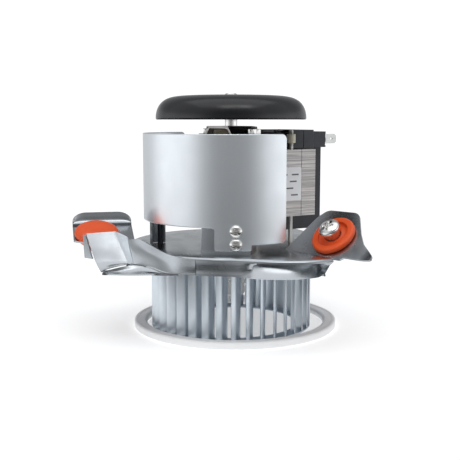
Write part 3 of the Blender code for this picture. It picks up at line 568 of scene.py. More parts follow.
def make_cooling_fan():
    crown, lip = FAN_RIM_Z + FAN_RISE, 0.9
    outer = dome_curve(FAN_R, FAN_RISE - lip, FAN_RIM_Z + lip, 48)
    inner = dome_curve(FAN_R - FAN_WALL, FAN_RISE - FAN_WALL - lip, FAN_RIM_Z + lip, 32)
    boss = [(11.0, crown), (9.6, crown - 0.15), (8.8, crown - 0.7), (6.6, crown - 0.75), (6.2, crown - 0.2),
            (BORE_R + 0.3, crown - 0.1), (BORE_R, crown - 0.4), (BORE_R, FAN_RIM_Z + 1.1),
            (BORE_R + 0.3, FAN_RIM_Z + 0.9), (7.2, FAN_RIM_Z + 0.9), (7.5, FAN_RIM_Z + 1.2),
            (7.5, crown - FAN_WALL - 0.5), (8.0, crown - FAN_WALL)]
    rim = arc((FAN_R - FAN_WALL / 2, FAN_RIM_Z + lip), FAN_WALL / 2, 180.0, 360.0, 8)[1:-1]
    outer = [point for point in outer if point[0] > 11.5]
    inner = [point for point in inner if point[0] > 8.5]
    piece("fan_dome", lathe(outer + boss + inner[::-1] + rim, 160), "fan_plastic", "rotor",
          stands_for="cooling_fan", smooth=50)
    vanes, half = 7, 0.7
    low, tip_z = FAN_RIM_Z + 2.2, FAN_RIM_Z + 9.7
    side = [(6.9, low), (43.0, low), (43.2, tip_z), (36.4, tip_z + 3.5), (6.9, FAN_RIM_Z + 13.9)]
    for k in range(vanes):
        turn = Matrix.Rotation(math.tau * k / vanes, 4, "Z")
        piece(f"fan_vane_{k}", moved(prism(side, -half, half), turn @ UPRIGHT), "fan_plastic", "rotor",
              bevel=0.25)


# ---- heat shield

SHIELD_TURN = (-235.0, -54.6)
TAB_TURN = (-100.0, -77.8)
TAB_LOW, STEP_LOW = 56.3, 59.7
SHIELD_CORNER = 3.0
DEGREE = math.radians(1.0) * SHIELD_R       # length of one degree of the sheet


def corner_cut(distance, radius):
    """How much a rounded corner takes off an edge, at a distance from the corner's end."""
    if distance >= radius:
        return 0.0
    return radius - math.sqrt(max(0.0, radius ** 2 - (radius - distance) ** 2))


def shield_low(azimuth):
    """Lower edge of the shield, with its tab, its step and their rounded corners."""
    from_left = (azimuth - TAB_TURN[0]) * DEGREE
    if from_left < 0.0:
        free = (azimuth - SHIELD_TURN[0]) * DEGREE
        return SHIELD_LOW - corner_cut(-from_left, 2.0) + corner_cut(free, SHIELD_CORNER)
    if azimuth < TAB_TURN[1]:
        return TAB_LOW + corner_cut(from_left, 1.0)
    return STEP_LOW + corner_cut((SHIELD_TURN[1] - azimuth) * DEGREE, SHIELD_CORNER)


def make_shield():
    first, last = SHIELD_TURN
    stops = {round(first + 1.5 * k, 3) for k in range(1, 120)}
    for edge, direction in ((first, 1), (TAB_TURN[0], -1), (TAB_TURN[0], 1), (last, -1)):
        for reach in (0.02, 0.1, 0.25, 0.5, 0.8, 1.1, 1.5, 1.9, 2.3, 2.7, 3.0):
            stops.add(edge + direction * reach / DEGREE)
    stops |= {first, last, TAB_TURN[1] - 0.1, TAB_TURN[1] + 0.1}
    edge_r, support = 0.3, 0.55     # rings beside the rounded edges keep the sheet's shading flat
    outside, inside = SHIELD_R, SHIELD_R - SHIELD_WALL
    columns = []
    for azimuth in sorted(stop for stop in stops if first <= stop <= last):
        free = min(azimuth - first, last - azimuth) * DEGREE
        low, high = shield_low(azimuth), SHIELD_HIGH - corner_cut(free, SHIELD_CORNER)
        section = [(outside - edge_r, low), (outside, low + edge_r), (outside, low + support),
                   (outside, (low + high) / 2), (outside, high - support), (outside, high - edge_r),
                   (outside - edge_r, high), (inside + edge_r, high), (inside, high - edge_r),
                   (inside, high - support), (inside, low + support), (inside, low + edge_r),
                   (inside + edge_r, low)]
        columns.append([polar(r, math.radians(azimuth), z) for r, z in section])
    piece("shield_sheet", loft(columns, caps=True), "shield_steel", stands_for="heat_shield", smooth=60)
    seat = SHIELD_R + GAP
    for name, height, turn in (("shield_screw_upper", 68.0, 32.0), ("shield_screw_lower", 60.2, 8.0)):
        spot = Matrix.Translation((2.8, 0.0, height)) @ Matrix.Rotation(math.pi / 2, 4, "X")
        head = moved(pan_head(3.8, 2.9, seat), spot @ Matrix.Rotation(math.radians(turn), 4, "Z"))
        shank = moved(threaded_rod(1.9, 49.0, seat + 0.3), spot)
        piece(f"{name}_pan", combined(head, shank), "bright_steel", stands_for=name)


# ---- wheel and gasket

def blade_outline():
    """Plan of one forward-curved blade at azimuth zero, tip outwards, with rounded edges."""
    start, stop, radius, half = math.radians(-66), math.radians(-10), 9.3, 0.35
    steps = 12
    x, y = WHEEL_R - 0.35, 0.0
    length = radius * (stop - start) / steps
    line = []
    for k in range(steps + 1):
        heading = math.pi + start + (stop - start) * k / steps
        line.append((Vector((x, y)), heading))
        x += length * math.cos(heading + 0.5 * (stop - start) / steps)
        y += length * math.sin(heading + 0.5 * (stop - start) / steps)
    left = [tuple(p + half * Vector((-math.sin(h), math.cos(h)))) for p, h in line]
    right = [tuple(p - half * Vector((-math.sin(h), math.cos(h)))) for p, h in line]
    return left + right[::-1]


def make_wheel():
    low, high = bottom("wheel_blades"), top("wheel_blades")
    hoop, inner, edge = 1.2, WHEEL_R - 9.5, 0.35
    outline = blade_outline()
    blades = []
    for k in range(BLADES):
        blade = prism(outline, low + hoop * 0.4, high - hoop * 0.4)
        blades.append(moved(blade, Matrix.Rotation(math.tau * k / BLADES, 4, "Z")))
    piece("wheel_blade_set", combined(*blades), "galvanised", "rotor", stands_for="wheel_blades")
    for name, z in (("wheel_inlet_hoop", low), ("wheel_back_hoop", high - hoop)):
        profile = [(inner + edge, z), (WHEEL_R - edge, z), (WHEEL_R, z + edge), (WHEEL_R, z + hoop - edge),
                   (WHEEL_R - edge, z + hoop), (inner + edge, z + hoop), (inner, z + hoop - edge),
                   (inner, z + edge)]
        piece(name, lathe(profile, 144), "galvanised", "rotor")
    plate_low = bottom("wheel_backplate")
    ribs = [(13.0, 0.0), (24.0, 0.0), (26.0, 0.0), (WHEEL_R - 0.4, 0.0)]
    upper = [(WHEEL_R, plate_low + 0.3), (WHEEL_R, plate_low + 0.7), (WHEEL_R - 0.3, plate_low + 1.0)]
    profile = [(BORE_R, plate_low)] + [(r, plate_low + z) for r, z in ribs] + upper
    piece("wheel_back_disc", lathe(profile + [(BORE_R, plate_low + 1.0)], 144), "galvanised", "rotor",
          stands_for="wheel_backplate")


def make_gasket():
    low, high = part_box("gasket_ring")
    centre = Vector(((low[0] + high[0]) / 2, (low[1] + high[1]) / 2, 0.0))
    outer, inner, tall = 65.5, 57.3, high[2] / MM
    profile = [(inner + 0.6, 0.0), (outer - 0.9, 0.0)]
    profile += arc((outer - 0.9, 0.9), 0.9, -90, 0, 5)[1:]
    profile += arc((outer - 1.3, tall - 1.3), 1.3, 0, 90, 7)
    profile += [(outer - 2.3, tall - 0.08), (outer - 2.7, tall - 0.34), (outer - 3.2, tall - 0.40),
                (outer - 4.6, tall - 0.34), (inner + 2.4, tall - 0.3)]
    profile += arc((inner + 1.8, tall - 2.1), 1.8, 90, 180, 7)
    profile += [(inner, 0.7)]

    def soften(spot):
        angle = math.atan2(spot.y, spot.x)
        ripple = 0.06 * math.sin(5 * angle + 1.0) + 0.05 * math.sin(11 * angle)
        share = spot.z / tall
        return Vector((spot.x, spot.y, spot.z + share * (ripple - 0.11)))

    ring = piece("gasket_foam_ring", lathe(profile, 180, soften), "gasket", "gasket",
                 matrix=Matrix.Translation(centre) @ Matrix.Scale(MM, 4),
                 stands_for="gasket_ring", smooth=60)


# ---- bracket

CREASES = (-45.4, 74.6)


def signed_turn(azimuth, origin):
    """Degrees from origin to azimuth, between -180 and 180."""
    return (azimuth - origin + 180.0) % 360.0 - 180.0


def leg_swell(azimuth):
    """How far the deck reaches into the right or the back leg, 1 at its tip."""
    for crease in CREASES:
        away = signed_turn(azimuth, crease)
        if -50.0 < away <= -2.5:
            return smoothstep((away + 50.0) / 47.5)
        if -2.5 < away < 0.5:
            return 1.0 - 1.35 * smoothstep((away + 2.5) / 3.0)
        if 0.5 <= away < 24.0:
            return -0.35 * (1.0 - smoothstep((away - 14.0) / 10.0))
    return 0.0


def hem_swell(azimuth):
    """Where the skirt's lower edge turns outwards as a flared hem."""
    return max(smoothstep((reach - abs(signed_turn(azimuth, centre))) / 5.0)
               for centre, reach in ((-67.0, 17.0), (53.0, 17.0), (113.0, 14.0), (173.0, 14.0)))


def deck_azimuths():
    azimuths = {2.0 * k for k in range(180)}
    for crease in (CREASES[0] + 360.0, CREASES[1]):
        azimuths = {a for a in azimuths if abs(a - crease + 1.0) > 3.0}
        azimuths |= {crease + away for away in (-3.4, -2.7, -2.0, -1.4, -0.7, 0.0, 0.6, 1.4)}
    return sorted(azimuths)


def deck_mesh():
    """The deck with its rolled edge, skirt and flared hem, as a closed ring of sections."""
    azimuths = deck_azimuths()
    outline = [polar(DECK_R + LEG_REACH * leg_swell(azimuth), math.radians(azimuth), 0.0).xy
               for azimuth in azimuths]
    roll_r, wall_in = 2.2, 0.2
    roll_z = DECK_Z - roll_r
    quarter = [math.radians(step) for step in range(0, 91, 18)]
    roll = [(wall_in + roll_r * (1.0 - math.sin(a)), DECK_Z - roll_r * (1.0 - math.cos(a))) for a in quarter]
    sections = []
    for k, azimuth in enumerate(azimuths):
        here = outline[k]
        inward = corner_normal(outline[k - 1], here, outline[(k + 1) % len(outline)], 0.5)
        radial = here.normalized()
        hem = hem_swell(azimuth)
        lean = 6.5 * max(0.0, leg_swell(azimuth)) ** 4
        fold_z = SKIRT_Z + 1.6 + 4.4 * hem
        fold, edge = 0.4 + 1.6 * hem + lean, lean - 3.2 * hem
        wall = [(wall_in + (fold - wall_in) * t, roll_z + (fold_z - roll_z) * t) for t in (0.35, 0.7)]
        flare = [(fold, fold_z), (fold * 0.72 + edge * 0.28, fold_z * 0.6 + SKIRT_Z * 0.4),
                 (fold * 0.3 + edge * 0.7, fold_z * 0.22 + SKIRT_Z * 0.78), (edge, SKIRT_Z)]
        under = [(edge + SHEET * 0.6, SKIRT_Z - 0.1), (edge + SHEET, SKIRT_Z + 0.2),
                 (fold + SHEET, fold_z - 0.2 * hem), (wall_in + SHEET, DECK_Z - 2.6),
                 (1.0 + SHEET, DECK_Z - 1.6), (2.6, DECK_Z - SHEET)]
        section = [(*(radial * r), DECK_Z) for r in (13.0, 26.0, 40.0, 52.0)]
        section += [(*(here + inward * s), z) for s, z in roll + wall + flare + under]
        sections.append(section + [(*(radial * r), DECK_Z - SHEET) for r in (52.0, 26.0, 13.0)])
    return loft(sections, close=True)


def bracket_holes():
    """Cutters for the studs and the strap's screw through the deck."""
    spots = [motor_spot(STUD_UV[0], side * STUD_UV[1]) for side in (-1, 1)] + [STRAP_SPOT]
    return [shifted(pipe(0.0, 2.3, 48.0, 58.0, 24), *spot) for spot in spots]


def ear_sheet(outline, bend=None):
    """An ear's plate with its round grommet hole; bend may curl its outer parts."""
    plate = boolean(prism(outline, -SHEET, 0.0), [pipe(0.0, 9.7, -6.0, 6.0, 48)])
    if bend:
        bmesh.ops.triangulate(plate, faces=plate.faces)
        for _ in range(2):
            long_edges = [edge for edge in plate.edges if edge.calc_length() > 2.5]
            bmesh.ops.subdivide_edges(plate, edges=long_edges, cuts=1)
            bmesh.ops.triangulate(plate, faces=plate.faces)
        for vert in plate.verts:
            vert.co = bend(vert.co)
    return plate


LEFT_EAR_X = (-14.2, 22.5)
LEFT_EAR = rounded([(LEFT_EAR_X[0], -6.5, 1.2), (LEFT_EAR_X[0], 13.0, 0), (LEFT_EAR_X[1], 13.0, 0),
                    (LEFT_EAR_X[1], -6.0, 2), (17.0, -17.5, 0), (3.0, -17.5, 0), (-3.0, -12.6, 3.0),
                    (-10.0, -8.0, 2.0)], 8)
RIGHT_EAR = rounded([(-30.0, -15.6, 0), (-21.5, 14.0, 14), (-17.0, 20.4, 6), (6.5, 20.4, 7),
                     (16.0, 5.5, 0.5), (22.0, -2.0, 8), (33.5, -10.5, 3), (34.6, -13.6, 1.0),
                     (15.0, -13.6, 0), (13.0, -15.6, 0)], 10)


def wing_curl(spot):
    """The wing's outer end curls up towards the ear's upper side."""
    reach = max(0.0, spot.x - 27.0)
    return Vector((spot.x - 0.012 * reach ** 2, spot.y, spot.z + 0.02 * reach ** 2))


def left_curl_grid():
    """The wall behind the left grommet: it sweeps up from the ear and has round upper corners."""
    bend = [(12.6, 0.0), (13.8, 0.22), (15.0, 0.9), (16.2, 2.1), (17.4, 4.0), (18.4, 6.2)]
    corner_r, steps = 8.5, 10
    quarter = [0.5 * math.pi * k / steps for k in range(steps + 1)]
    stations = [(corner_r * (1.0 - math.cos(turn)), math.sin(turn)) for turn in quarter]
    columns = [(LEFT_EAR_X[0] + shift, lift) for shift, lift in stations]
    columns += [(LEFT_EAR_X[1] - shift, lift) for shift, lift in stations[::-1]]
    grid = []
    for x, lift in columns:
        share = 0.30 + 0.70 * lift
        grid.append([(x, bend[0][0] + (y - bend[0][0]) * share, z * share) for y, z in bend])
    return smooth_grid(grid, 3, 1)


def left_arm_grid():
    """The left leg's front: a wall that leaves the skirt, a folded edge and a flat end flap."""
    top_row = [(-20.2, -61.8, 52.2), (-30.1, -58.2, 53.5), (-38.7, -52.8, 55.2), (-47.2, -48.8, 59.2),
               (-54.4, -44.6, 62.0), (-60.9, -40.6, 60.8), (-63.6, -39.8, 62.6), (-69.3, -40.6, 65.3),
               (-70.6, -40.8, 65.4), (-78.0, -41.2, 65.0), (-86.3, -41.6, 64.4)]
    low_row = [(-20.2, -61.9, 45.0), (-30.4, -58.7, 44.6), (-38.6, -55.6, 44.8), (-45.6, -53.2, 46.8),
               (-52.5, -51.0, 48.1), (-57.5, -50.2, 48.2), (-58.4, -50.6, 48.3), (-60.6, -51.7, 48.6),
               (-62.2, -51.9, 48.7), (-70.5, -51.6, 48.7), (-79.5, -51.2, 48.8)]
    lip_row = [(-20.3, -62.0, 43.8), (-30.6, -58.9, 43.4), (-38.9, -56.2, 43.6), (-45.8, -53.8, 45.8),
               (-52.5, -51.4, 47.3), (-57.6, -50.8, 47.4), (-58.8, -51.2, 47.6), (-61.0, -53.0, 47.8),
               (-62.6, -53.7, 47.8), (-70.6, -55.2, 46.2), (-75.8, -55.5, 43.9)]
    belly = [-0.2, 0.0, 0.5, 1.2, 1.2, 0.3, 0.0, 0.0, 0.0, 0.0, 0.0]
    mid_row = []
    for a, b, hollow in zip(low_row, top_row, belly):
        spot = (Vector(a) + Vector(b)) / 2.0
        mid_row.append((spot.x, spot.y + hollow, spot.z))
    return smooth_grid([lip_row, low_row, mid_row, top_row], 8, 6)


def left_return_grid():
    """The narrow flange bent back from the end flap's outer side."""
    edge = [(-86.3, -41.5, 64.2), (-84.4, -44.4, 59.2), (-82.4, -47.4, 53.9), (-81.2, -49.2, 50.9)]
    back = [(-88.0, -38.6, 63.9), (-87.6, -39.8, 59.2), (-87.1, -41.4, 54.2), (-86.6, -42.8, 50.3)]
    return smooth_grid([edge, back], 6, 4)


def left_hem_grid():
    """The turned hem under the left leg, from the end flap back to the skirt."""
    upper = [(-75.0, -55.4, 44.4), (-66.0, -54.7, 46.6), (-60.0, -53.4, 47.6), (-53.0, -52.4, 47.3),
             (-46.0, -54.2, 45.7), (-40.0, -56.2, 44.4), (-31.0, -58.2, 44.2)]
    lower = [(-75.2, -56.0, 43.6), (-65.3, -57.4, 43.4), (-58.0, -57.6, 43.3), (-51.0, -57.8, 43.5),
             (-45.0, -58.0, 43.7), (-39.0, -58.4, 43.7), (-30.5, -58.5, 43.7)]
    mid = [tuple(Vector(a) * 0.5 + Vector(b) * 0.5 + Vector((0, 0.5, -0.5))) for a, b in zip(upper, lower)]
    return smooth_grid([lower, mid, upper], 6, 5)


def left_roof_grid():
    """The roof that closes the left leg between its wall and its ear."""
    front = [(-36.0, -52.5, 53.7), (-46.0, -47.8, 54.6), (-54.0, -43.6, 57.4), (-60.5, -40.2, 59.6)]
    centre = [(-40.0, -36.0, 53.7), (-50.0, -35.0, 53.9), (-56.0, -34.5, 54.6), (-62.0, -34.0, 57.0)]
    rear = [(-40.0, -27.0, 53.7), (-50.0, -26.0, 53.8), (-56.0, -25.0, 54.9), (-62.5, -25.0, 59.4)]
    return smooth_grid([rear, centre, front], 8, 8)


def make_bracket():
    deck = boolean(deck_mesh(), bracket_holes())
    piece("bracket_deck", deck, "bracket_steel", stands_for="mounting_bracket", smooth=40)
    for place in ("right", "back"):
        piece(f"bracket_{place}_ear", ear_sheet(RIGHT_EAR, wing_curl), "bracket_steel",
              matrix=EARS[place], smooth=40, bevel=0.2)
    piece("bracket_left_ear", ear_sheet(LEFT_EAR), "bracket_steel", matrix=EARS["left"], bevel=0.2)
    piece("bracket_left_curl", sheet(left_curl_grid(), SHEET), "bracket_steel", matrix=EARS["left"],
          smooth=50, bevel=0.2)
    for part, grid in (("arm", left_arm_grid()), ("return", left_return_grid()),
                       ("hem", left_hem_grid()), ("roof", left_roof_grid())):
        piece(f"bracket_left_{part}", sheet(grid, SHEET), "bracket_steel", smooth=50, bevel=0.15)
    lug_r = SHIELD_R - SHIELD_WALL - GAP
    section = rectangle((lug_r - SHEET, lug_r), (DECK_Z - 0.7, 70.6))
    turns = [math.radians(-108.5 + 30.5 * k / 24) for k in range(25)]
    lug = loft([[polar(r, turn, z) for r, z in section] for turn in turns], caps=True)
    piece("bracket_shield_lug", lug, "bracket_steel", smooth=50, bevel=0.25)


# ---- grommets

def make_grommet(place):
    """A grommet with its sleeve and screw; the left one is closed on top and screwed from below."""
    blind = place == "left"
    rise, low = GROMMET_RISE, -SHEET - GAP
    bore, groove, outer = 4.9, 9.4, GROMMET_R
    foot, edge, drop = GROMMET_R, 1.5, low - GROMMET_RISE + GAP
    if blind:
        foot, edge, drop = 11.5, 0.7, drop + 1.5
    profile = [(bore + 0.3, drop), (foot - edge, drop)]
    profile += arc((foot - edge, drop + edge), edge, -90, 0, 6)[1:]
    profile += [(foot, low - 0.4), (foot - 0.4, low), (groove, low), (groove, GAP), (outer - 0.4, GAP),
                (outer, GAP + 0.4)]
    if blind:
        spring, crown, steps = 1.2, rise + 2.2, 36
        for k in range(steps):
            angle = 0.5 * math.pi * k / steps
            profile.append((outer * math.cos(angle) ** 0.6, spring + (crown - spring) * math.sin(angle)))
        profile += [(0.0, crown), (0.0, 1.0), (bore, 1.0)]
        ends, head_low = (0.7, -rise - 3.2 - SHEET), -rise - 3.5 - SHEET
        turn, shank = Matrix.Rotation(math.pi, 4, "X"), (head_low - 0.2, -0.2)
    else:
        profile += arc((outer - edge, rise - edge), edge, 0, 90, 8)
        profile += [(10.2, rise - 0.05)] + arc((9.9, rise - 0.5), 0.45, 90, 180, 4)
        profile += [(9.3, rise - 1.5), (8.9, rise - 1.8), (6.4, rise - 1.8), (6.0, rise - 1.4),
                    (bore + 0.4, rise - 1.3), (bore, rise - 1.6)]
        ends, head_low = (drop - 1.0, rise + 3.2), rise + 3.5
        turn, shank = Matrix.Rotation(math.radians(20), 4, "Z"), (-16.0, head_low + 0.3)
    piece(f"{place}_grommet_silicone", lathe(profile, 128), "silicone", matrix=EARS[place],
          stands_for=f"{place}_grommet", smooth=50)
    piece(f"{place}_spacer_sleeve", pipe(2.8, 4.6, *ends, 64), "plated_steel", matrix=EARS[place],
          stands_for=f"{place}_grommet_sleeve", bevel=0.25)
    head = moved(pan_head(6.4, 3.8, 0.0), Matrix.Translation((0, 0, head_low)) @ turn)
    screw = combined(head, threaded_rod(2.4, *shank, 1.1, 0.3))
    piece(f"{place}_screw_pan", screw, "bright_steel", matrix=EARS[place],
          stands_for=f"{place}_mounting_screw")


# ---- motor

def inset(outline, distance):
    """Move an outline's points inwards by a distance, square to its sides."""
    area = sum(a[0] * b[1] - b[0] * a[1] for a, b in zip(outline, outline[1:] + outline[:1]))
    side = 1.0 if area > 0 else -1.0
    points = [Vector(point) for point in outline]
    return [tuple(here + corner_normal(before, here, after, 0.4) * distance * side)
            for before, here, after in zip(points[-1:] + points[:-1], points, points[1:] + points[:1])]


def laminated(outline, low, high, pitch=1.3, groove=0.14, half=0.12):
    """A stack of sheets: an extruded outline with a fine groove at each joint."""
    count = round((high - low) / pitch)
    small = inset(outline, groove)
    step = (high - low) / count
    rings = []
    for k in range(count):
        z = low + (high - low) * k / count
        if k:
            rings.append([(x, y, z) for x, y in small])
        for height in (z + half * (k > 0), z + step - half * (k < count - 1)):
            rings.append([(x, y, height) for x, y in outline])
    return loft(rings, caps=True)


def make_core():
    half = [(CORE_U[0], -CORE_V, 5), (CORE_U[1], -CORE_V, 0), (CORE_U[1], -14.0, 0), (27.0, -14.0, 0),
            (27.0, -1.5, 0), (10.0, -1.5, 0)]
    cut_z = (60.0, 125.0)
    cutters = [pipe(0.0, POLE_R, *cut_z, 64)]
    (stud_u, stud_v), (bolt_u, bolt_v) = STUD_UV, BOLT_UV
    for u, v, radius in ((stud_u, stud_v, 2.0), (stud_u, -stud_v, 2.0), (bolt_u, -bolt_v, 2.4),
                         (-bolt_u, bolt_v, 2.4)):
        cutters.append(shifted(pipe(0.0, radius, *cut_z, 20), u, v))
    reach = 1.4     # half the width of a shading coil's slot
    for side in (1, -1):
        first, second = Vector((10.0, 22.5)) * side, Vector((20.0, 16.5)) * side
        along = (second - first).normalized()
        wide = along.orthogonal()
        for leg in (first, second):
            square = [tuple(leg + along * a + wide * b)
                      for a, b in ((-reach, -reach), (reach, -reach), (reach, reach), (-reach, reach))]
            cutters.append(prism(square, *cut_z))
    stack = boolean(laminated(rounded(mirrored(half), 6), STACK_LOW, STACK_HIGH), cutters)
    piece("core_lamination_stack", stack, "lamination", matrix=MOTOR_FRAME, stands_for="stator_core",
          smooth=25)
    yoke = laminated(rectangle(YOKE_U, (-CORE_V, CORE_V)), STACK_LOW, STACK_HIGH)
    piece("yoke_lamination_stack", yoke, "lamination", matrix=MOTOR_FRAME, stands_for="stator_yoke",
          smooth=25)


def make_terminal_block():
    """The moulded block beside the core, with two upright spades in its nose."""
    low, high = STACK_HIGH + 0.5, top("terminal_block")
    inside, face, spade_v = COIL_REACH + 0.4, COIL_REACH + 2.0, 13.0
    body = rounded(mirrored([(34.0, -19.3, 0.8), (51.0, -19.3, 0.6)]), 4)
    nose = rounded(mirrored([(49.8, -17.0, 0.3), (face - 1.0, -17.0, 0.5), (face, -16.0, 0.3)]), 3)
    shell = boolean(prism(body, low, high), [prism(nose, low + 0.4, high - 1.2)], "UNION")
    cutters = [block((20.0, inside), (-14.1, 14.1), (low - 5.0, high - 2.0))]
    for v in (-spade_v, spade_v):
        cutters.append(block((inside - 2.0, face + 2.0), (v - 0.7, v + 0.7), (low + 2.2, low + 9.4)))
        for z in (low + 1.5, low + 6.6):
            cutters.append(block((face - 1.2, face + 2.0), (v - 5.0, v + 2.2), (z, z + 2.2)))
    for v in (-19.6, 19.0):
        cutters.append(block((42.6, 43.0), (v, v + 0.6), (low - 1, high + 1)))
    piece("terminal_housing", boolean(shell, cutters), "black_plastic", matrix=MOTOR_FRAME,
          stands_for="terminal_block", smooth=30, bevel=0.25)
    z, root, tip = (low + 2.6, low + 8.9), inside + 0.3, face + 10.5
    tab = rounded([(root, z[0], 0), (tip - 1.4, z[0], 0.4), (tip, z[0] + 1.2, 0.4),
                   (tip, z[1] - 1.2, 0.4), (tip - 1.4, z[1], 0.4), (root, z[1], 0)], 4)
    for name, v in (("spade_terminal_a", -spade_v), ("spade_terminal_b", spade_v)):
        dimple = shifted(pipe(0.0, 0.9, v - 2, v + 2, 24), tip - 4.0, (z[0] + z[1]) / 2)
        spade = boolean(prism(tab, v - 0.4, v + 0.4), [dimple])
        piece(f"{name}_tab", moved(spade, UPRIGHT), "tinned_brass", matrix=MOTOR_FRAME,
              stands_for=name, bevel=0.12)


def make_label():
    """A plain film with rows of bars in place of lettering."""
    plate = prism(rectangle((5.0, 36.4), (81.4, 102.4), 1.0), -CORE_V - 0.6, -CORE_V - GAP)
    piece("label_film", moved(plate, UPRIGHT), "label", matrix=MOTOR_FRAME, stands_for="rating_label")
    rows = ((12.0, 22.0, 29.0), (10.0, 17.5, 27.5), (11.0, 19.0, 25.0), (10.0, 21.0, 28.5))
    bars = []
    for row, starts in enumerate(rows):
        z = 97.4 - 4.3 * row
        for start, length in zip(starts, (4.6, 3.6, 5.2)):
            bar = rectangle((start, start + length), (z, z + 0.9), 0.2, 2)
            bars.append(moved(prism(bar, -CORE_V - 0.65, -CORE_V - 0.55), UPRIGHT))
    piece("label_bars", combined(*bars), "label_ink", matrix=MOTOR_FRAME)


def deck_nut(name, spot, bore):
    low = DECK_Z - SHEET - 3.6
    piece(f"{name}_hex_nut", shifted(hex_nut(7.0, low, low + 3.2, bore), *spot), "bright_steel",
          stands_for=f"{name}_nut")


def make_fasteners():
    """Threads, chamfered nuts and heads of the studs, the core's bolts and the strap's screw."""
    for name, v in (("front_stud", -STUD_UV[1]), ("rear_stud", STUD_UV[1])):
        spot = motor_spot(STUD_UV[0], v)
        rod = threaded_rod(1.5, bottom(name), top(name), 0.7, 0.18)
        piece(f"{name}_rod", shifted(rod, *spot), "stud_steel", stands_for=name)
        deck_nut(name, spot, 1.8)
        piece(f"{name}_collar", shifted(pipe(1.75, 2.8, 117.6, 123.2, 40), *spot), "nylon", bevel=0.3)
    for name, side in (("front_core_bolt", -1), ("rear_core_bolt", 1)):
        u, v = -side * BOLT_UV[0], side * BOLT_UV[1]
        bolt = combined(threaded_rod(1.9, 61.4, 128.2, 0.8, 0.22), hex_nut(7.0, 61.0, 63.6, 1.2))
        piece(f"{name}_rod", shifted(bolt, u, v), "stud_steel", matrix=MOTOR_FRAME, stands_for=name)
        piece(f"{name}_hex_nut", shifted(hex_nut(7.6, 123.4, 126.6, 2.2), u, v), "bright_steel",
              matrix=MOTOR_FRAME, stands_for=f"{name}_nut")
    head_z = 72.5
    head = shifted(pan_head(3.6, 2.1, 0.0, 64), z=head_z)
    screw = combined(threaded_rod(1.9, 47.4, head_z, 1.0, 0.35), head)
    piece("strap_screw_black", shifted(screw, *STRAP_SPOT), "black_plastic", stands_for="strap_screw")
    deck_nut("strap_screw", STRAP_SPOT, 2.1)


def make_lead():
    line = [(33.6, -9.0, 124.6), (30.0, -11.5, 125.2), (26.0, -15.5, 125.3), (21.0, -19.0, 125.0)]
    piece("thermal_lead_sleeve", tube(smooth_line(line, 8), 0.8, 20), "black_plastic", matrix=MOTOR_FRAME,
          stands_for="thermal_lead")


# ---- carried-over nodes

# Names of the CAD solids that are kept, under their finish and the width of their worn edges
CARRIED = {
    ("bright_steel", 0.2): ("motor_shaft", "hub_set_screw"),
    ("bright_steel", 0.15): ("upper_bearing_keeper", "lower_bearing_keeper"),
    ("lamination", 0.2): ("rotor_core",),
    ("aluminium", 0.3): ("rotor_end_ring_upper", "rotor_end_ring_lower"),
    ("nylon", 0.15): ("thrust_washer_upper", "thrust_washer_lower"),
    ("plated_steel", 0.3): ("wheel_hub",),
    ("plated_steel", 0.25): ("upper_bearing_bridge", "lower_bearing_bridge",
                             "front_core_bolt_upper_spacer", "front_core_bolt_lower_spacer",
                             "rear_core_bolt_upper_spacer", "rear_core_bolt_lower_spacer"),
    ("black_plastic", 0.4): ("coil_bobbin",),
    ("winding", 1.0): ("coil_winding",),
    ("copper", 0.3): ("shading_coil_a", "shading_coil_b"),
    ("bronze", 0.2): ("upper_bearing", "lower_bearing"),
    ("felt", 0.5): ("upper_oil_wick", "lower_oil_wick"),
    ("bracket_steel", 0.25): ("motor_strap",),
    ("bracket_steel", 0.3): ("strap_standoff",),
}


def finish_carried():
    """CAD solids whose shape is right keep it, with worn edges and a detailed material."""
    for (finish, width), names in CARRIED.items():
        for name in names:
            thing = frame["nodes"][name]
            thing.data.materials.clear()
            thing.data.materials.append(MATERIALS[finish])
            weld = thing.modifiers.new("weld", "WELD")
            weld.merge_threshold = 0.000005
            round_edges(thing, width)


# ---- studio

def make_floor():
    """A pale round floor, set back so that the bracket's front doesn't mirror it; past its edge
    the white surround takes over."""
    reach, back, sides = 0.26, 0.10, 96
    turns = [math.tau * k / sides for k in range(sides)]
    bm = bmesh.new()
    bm.faces.new([bm.verts.new((reach * math.cos(turn), back + reach * math.sin(turn), -0.0002))
                  for turn in turns])
    floor = new_object("studio_floor", bm)
    tree, shader = start_material("studio_floor", Roughness=0.9, Emission_Color=(1.0, 1.0, 1.0),
                                  Emission_Strength=0.38)
    paper = blend_colors(tree, grain(tree, 40.0, 2.0), (0.93, 0.93, 0.93), (0.95, 0.95, 0.95))
    tree.links.new(paper, shader.inputs["Base Color"])
    floor.data.materials.append(MATERIALS["studio_floor"])


# Where the tent dims: an axis, the range of directions along it, and the brightness at either end
TENT = (("Y", -0.98, -0.48, 0.36, 1.32), ("Z", 0.08, 0.32, 1.0, 0.52), ("Z", -0.20, -0.14, 0.10, 1.0),
        ("Y", 0.10, 0.60, 1.0, 0.50))


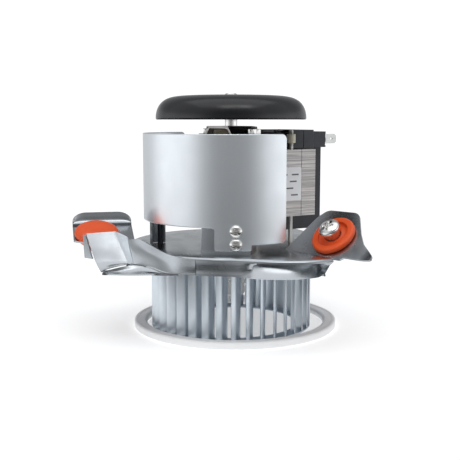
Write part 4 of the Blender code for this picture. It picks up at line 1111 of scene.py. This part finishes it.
def make_world():
    """A white tent, darker towards the front, overhead, below the table's level and behind."""
    world = bpy.data.worlds.new("studio")
    bpy.context.scene.world = world
    world.use_nodes = True
    tree = world.node_tree
    tree.nodes.clear()
    place = shader_node(tree, "ShaderNodeTexCoord").outputs["Generated"]
    split = shader_node(tree, "ShaderNodeSeparateXYZ", Vector=place)
    strength = 1.0
    for axis, start, stop, first, last in TENT:
        product = tree.nodes.new("ShaderNodeMath")
        product.operation = "MULTIPLY"
        ramp = spread(tree, split.outputs[axis], first, last, start, stop, "SMOOTHSTEP")
        feed(tree, product.inputs[0], strength)
        feed(tree, product.inputs[1], ramp)
        strength = product.outputs["Value"]
    tent = shader_node(tree, "ShaderNodeBackground", Color=(0.965, 0.983, 1.0), Strength=strength)
    surround = shader_node(tree, "ShaderNodeBackground", Color=(1.0, 1.0, 1.0), Strength=1.05)
    seen = shader_node(tree, "ShaderNodeLightPath").outputs["Is Camera Ray"]
    mixed = tree.nodes.new("ShaderNodeMixShader")
    for index, source in enumerate((seen, tent.outputs[0], surround.outputs[0])):
        tree.links.new(source, mixed.inputs[index])
    shader_node(tree, "ShaderNodeOutputWorld", Surface=mixed.outputs["Shader"])


def add_light(name, place, aim, size, power):
    data = bpy.data.lights.new(name, "AREA")
    data.shape = "RECTANGLE"
    data.size, data.size_y = size
    data.energy = power
    lamp = bpy.data.objects.new(name, data)
    lamp.location = place
    lamp.rotation_euler = (Vector(aim) - Vector(place)).to_track_quat("-Z", "Y").to_euler()
    bpy.context.scene.collection.objects.link(lamp)


def make_studio():
    make_floor()
    make_world()
    aim = SHAFT_AXIS + Vector((0, 0, 0.07))
    add_light("key_box", (0.10, -0.62, 0.88), aim, (0.7, 0.26), 1.1)
    add_light("top_box", (0.0, -0.15, 1.0), aim, (1.4, 1.0), 2.6)
    data = bpy.data.cameras.new("camera")
    data.sensor_width, data.lens = 36.0, 64.0
    data.clip_start, data.clip_end = 0.01, 20.0
    camera = bpy.data.objects.new("camera", data)
    camera.location = SHAFT_AXIS + Vector((-0.00064, -0.525, 0.1324))
    tilt_down = 7.7
    camera.rotation_euler = (math.radians(90.0 - tilt_down), 0.0, 0.0)
    bpy.context.scene.collection.objects.link(camera)
    bpy.context.scene.camera = camera
    bpy.context.scene.view_settings.view_transform = "Standard"


make_cooling_fan()
make_shield()
make_wheel()
make_gasket()
make_bracket()
for ear in EARS:
    make_grommet(ear)
make_core()
make_terminal_block()
make_label()
make_fasteners()
make_lead()
finish_carried()
make_studio()
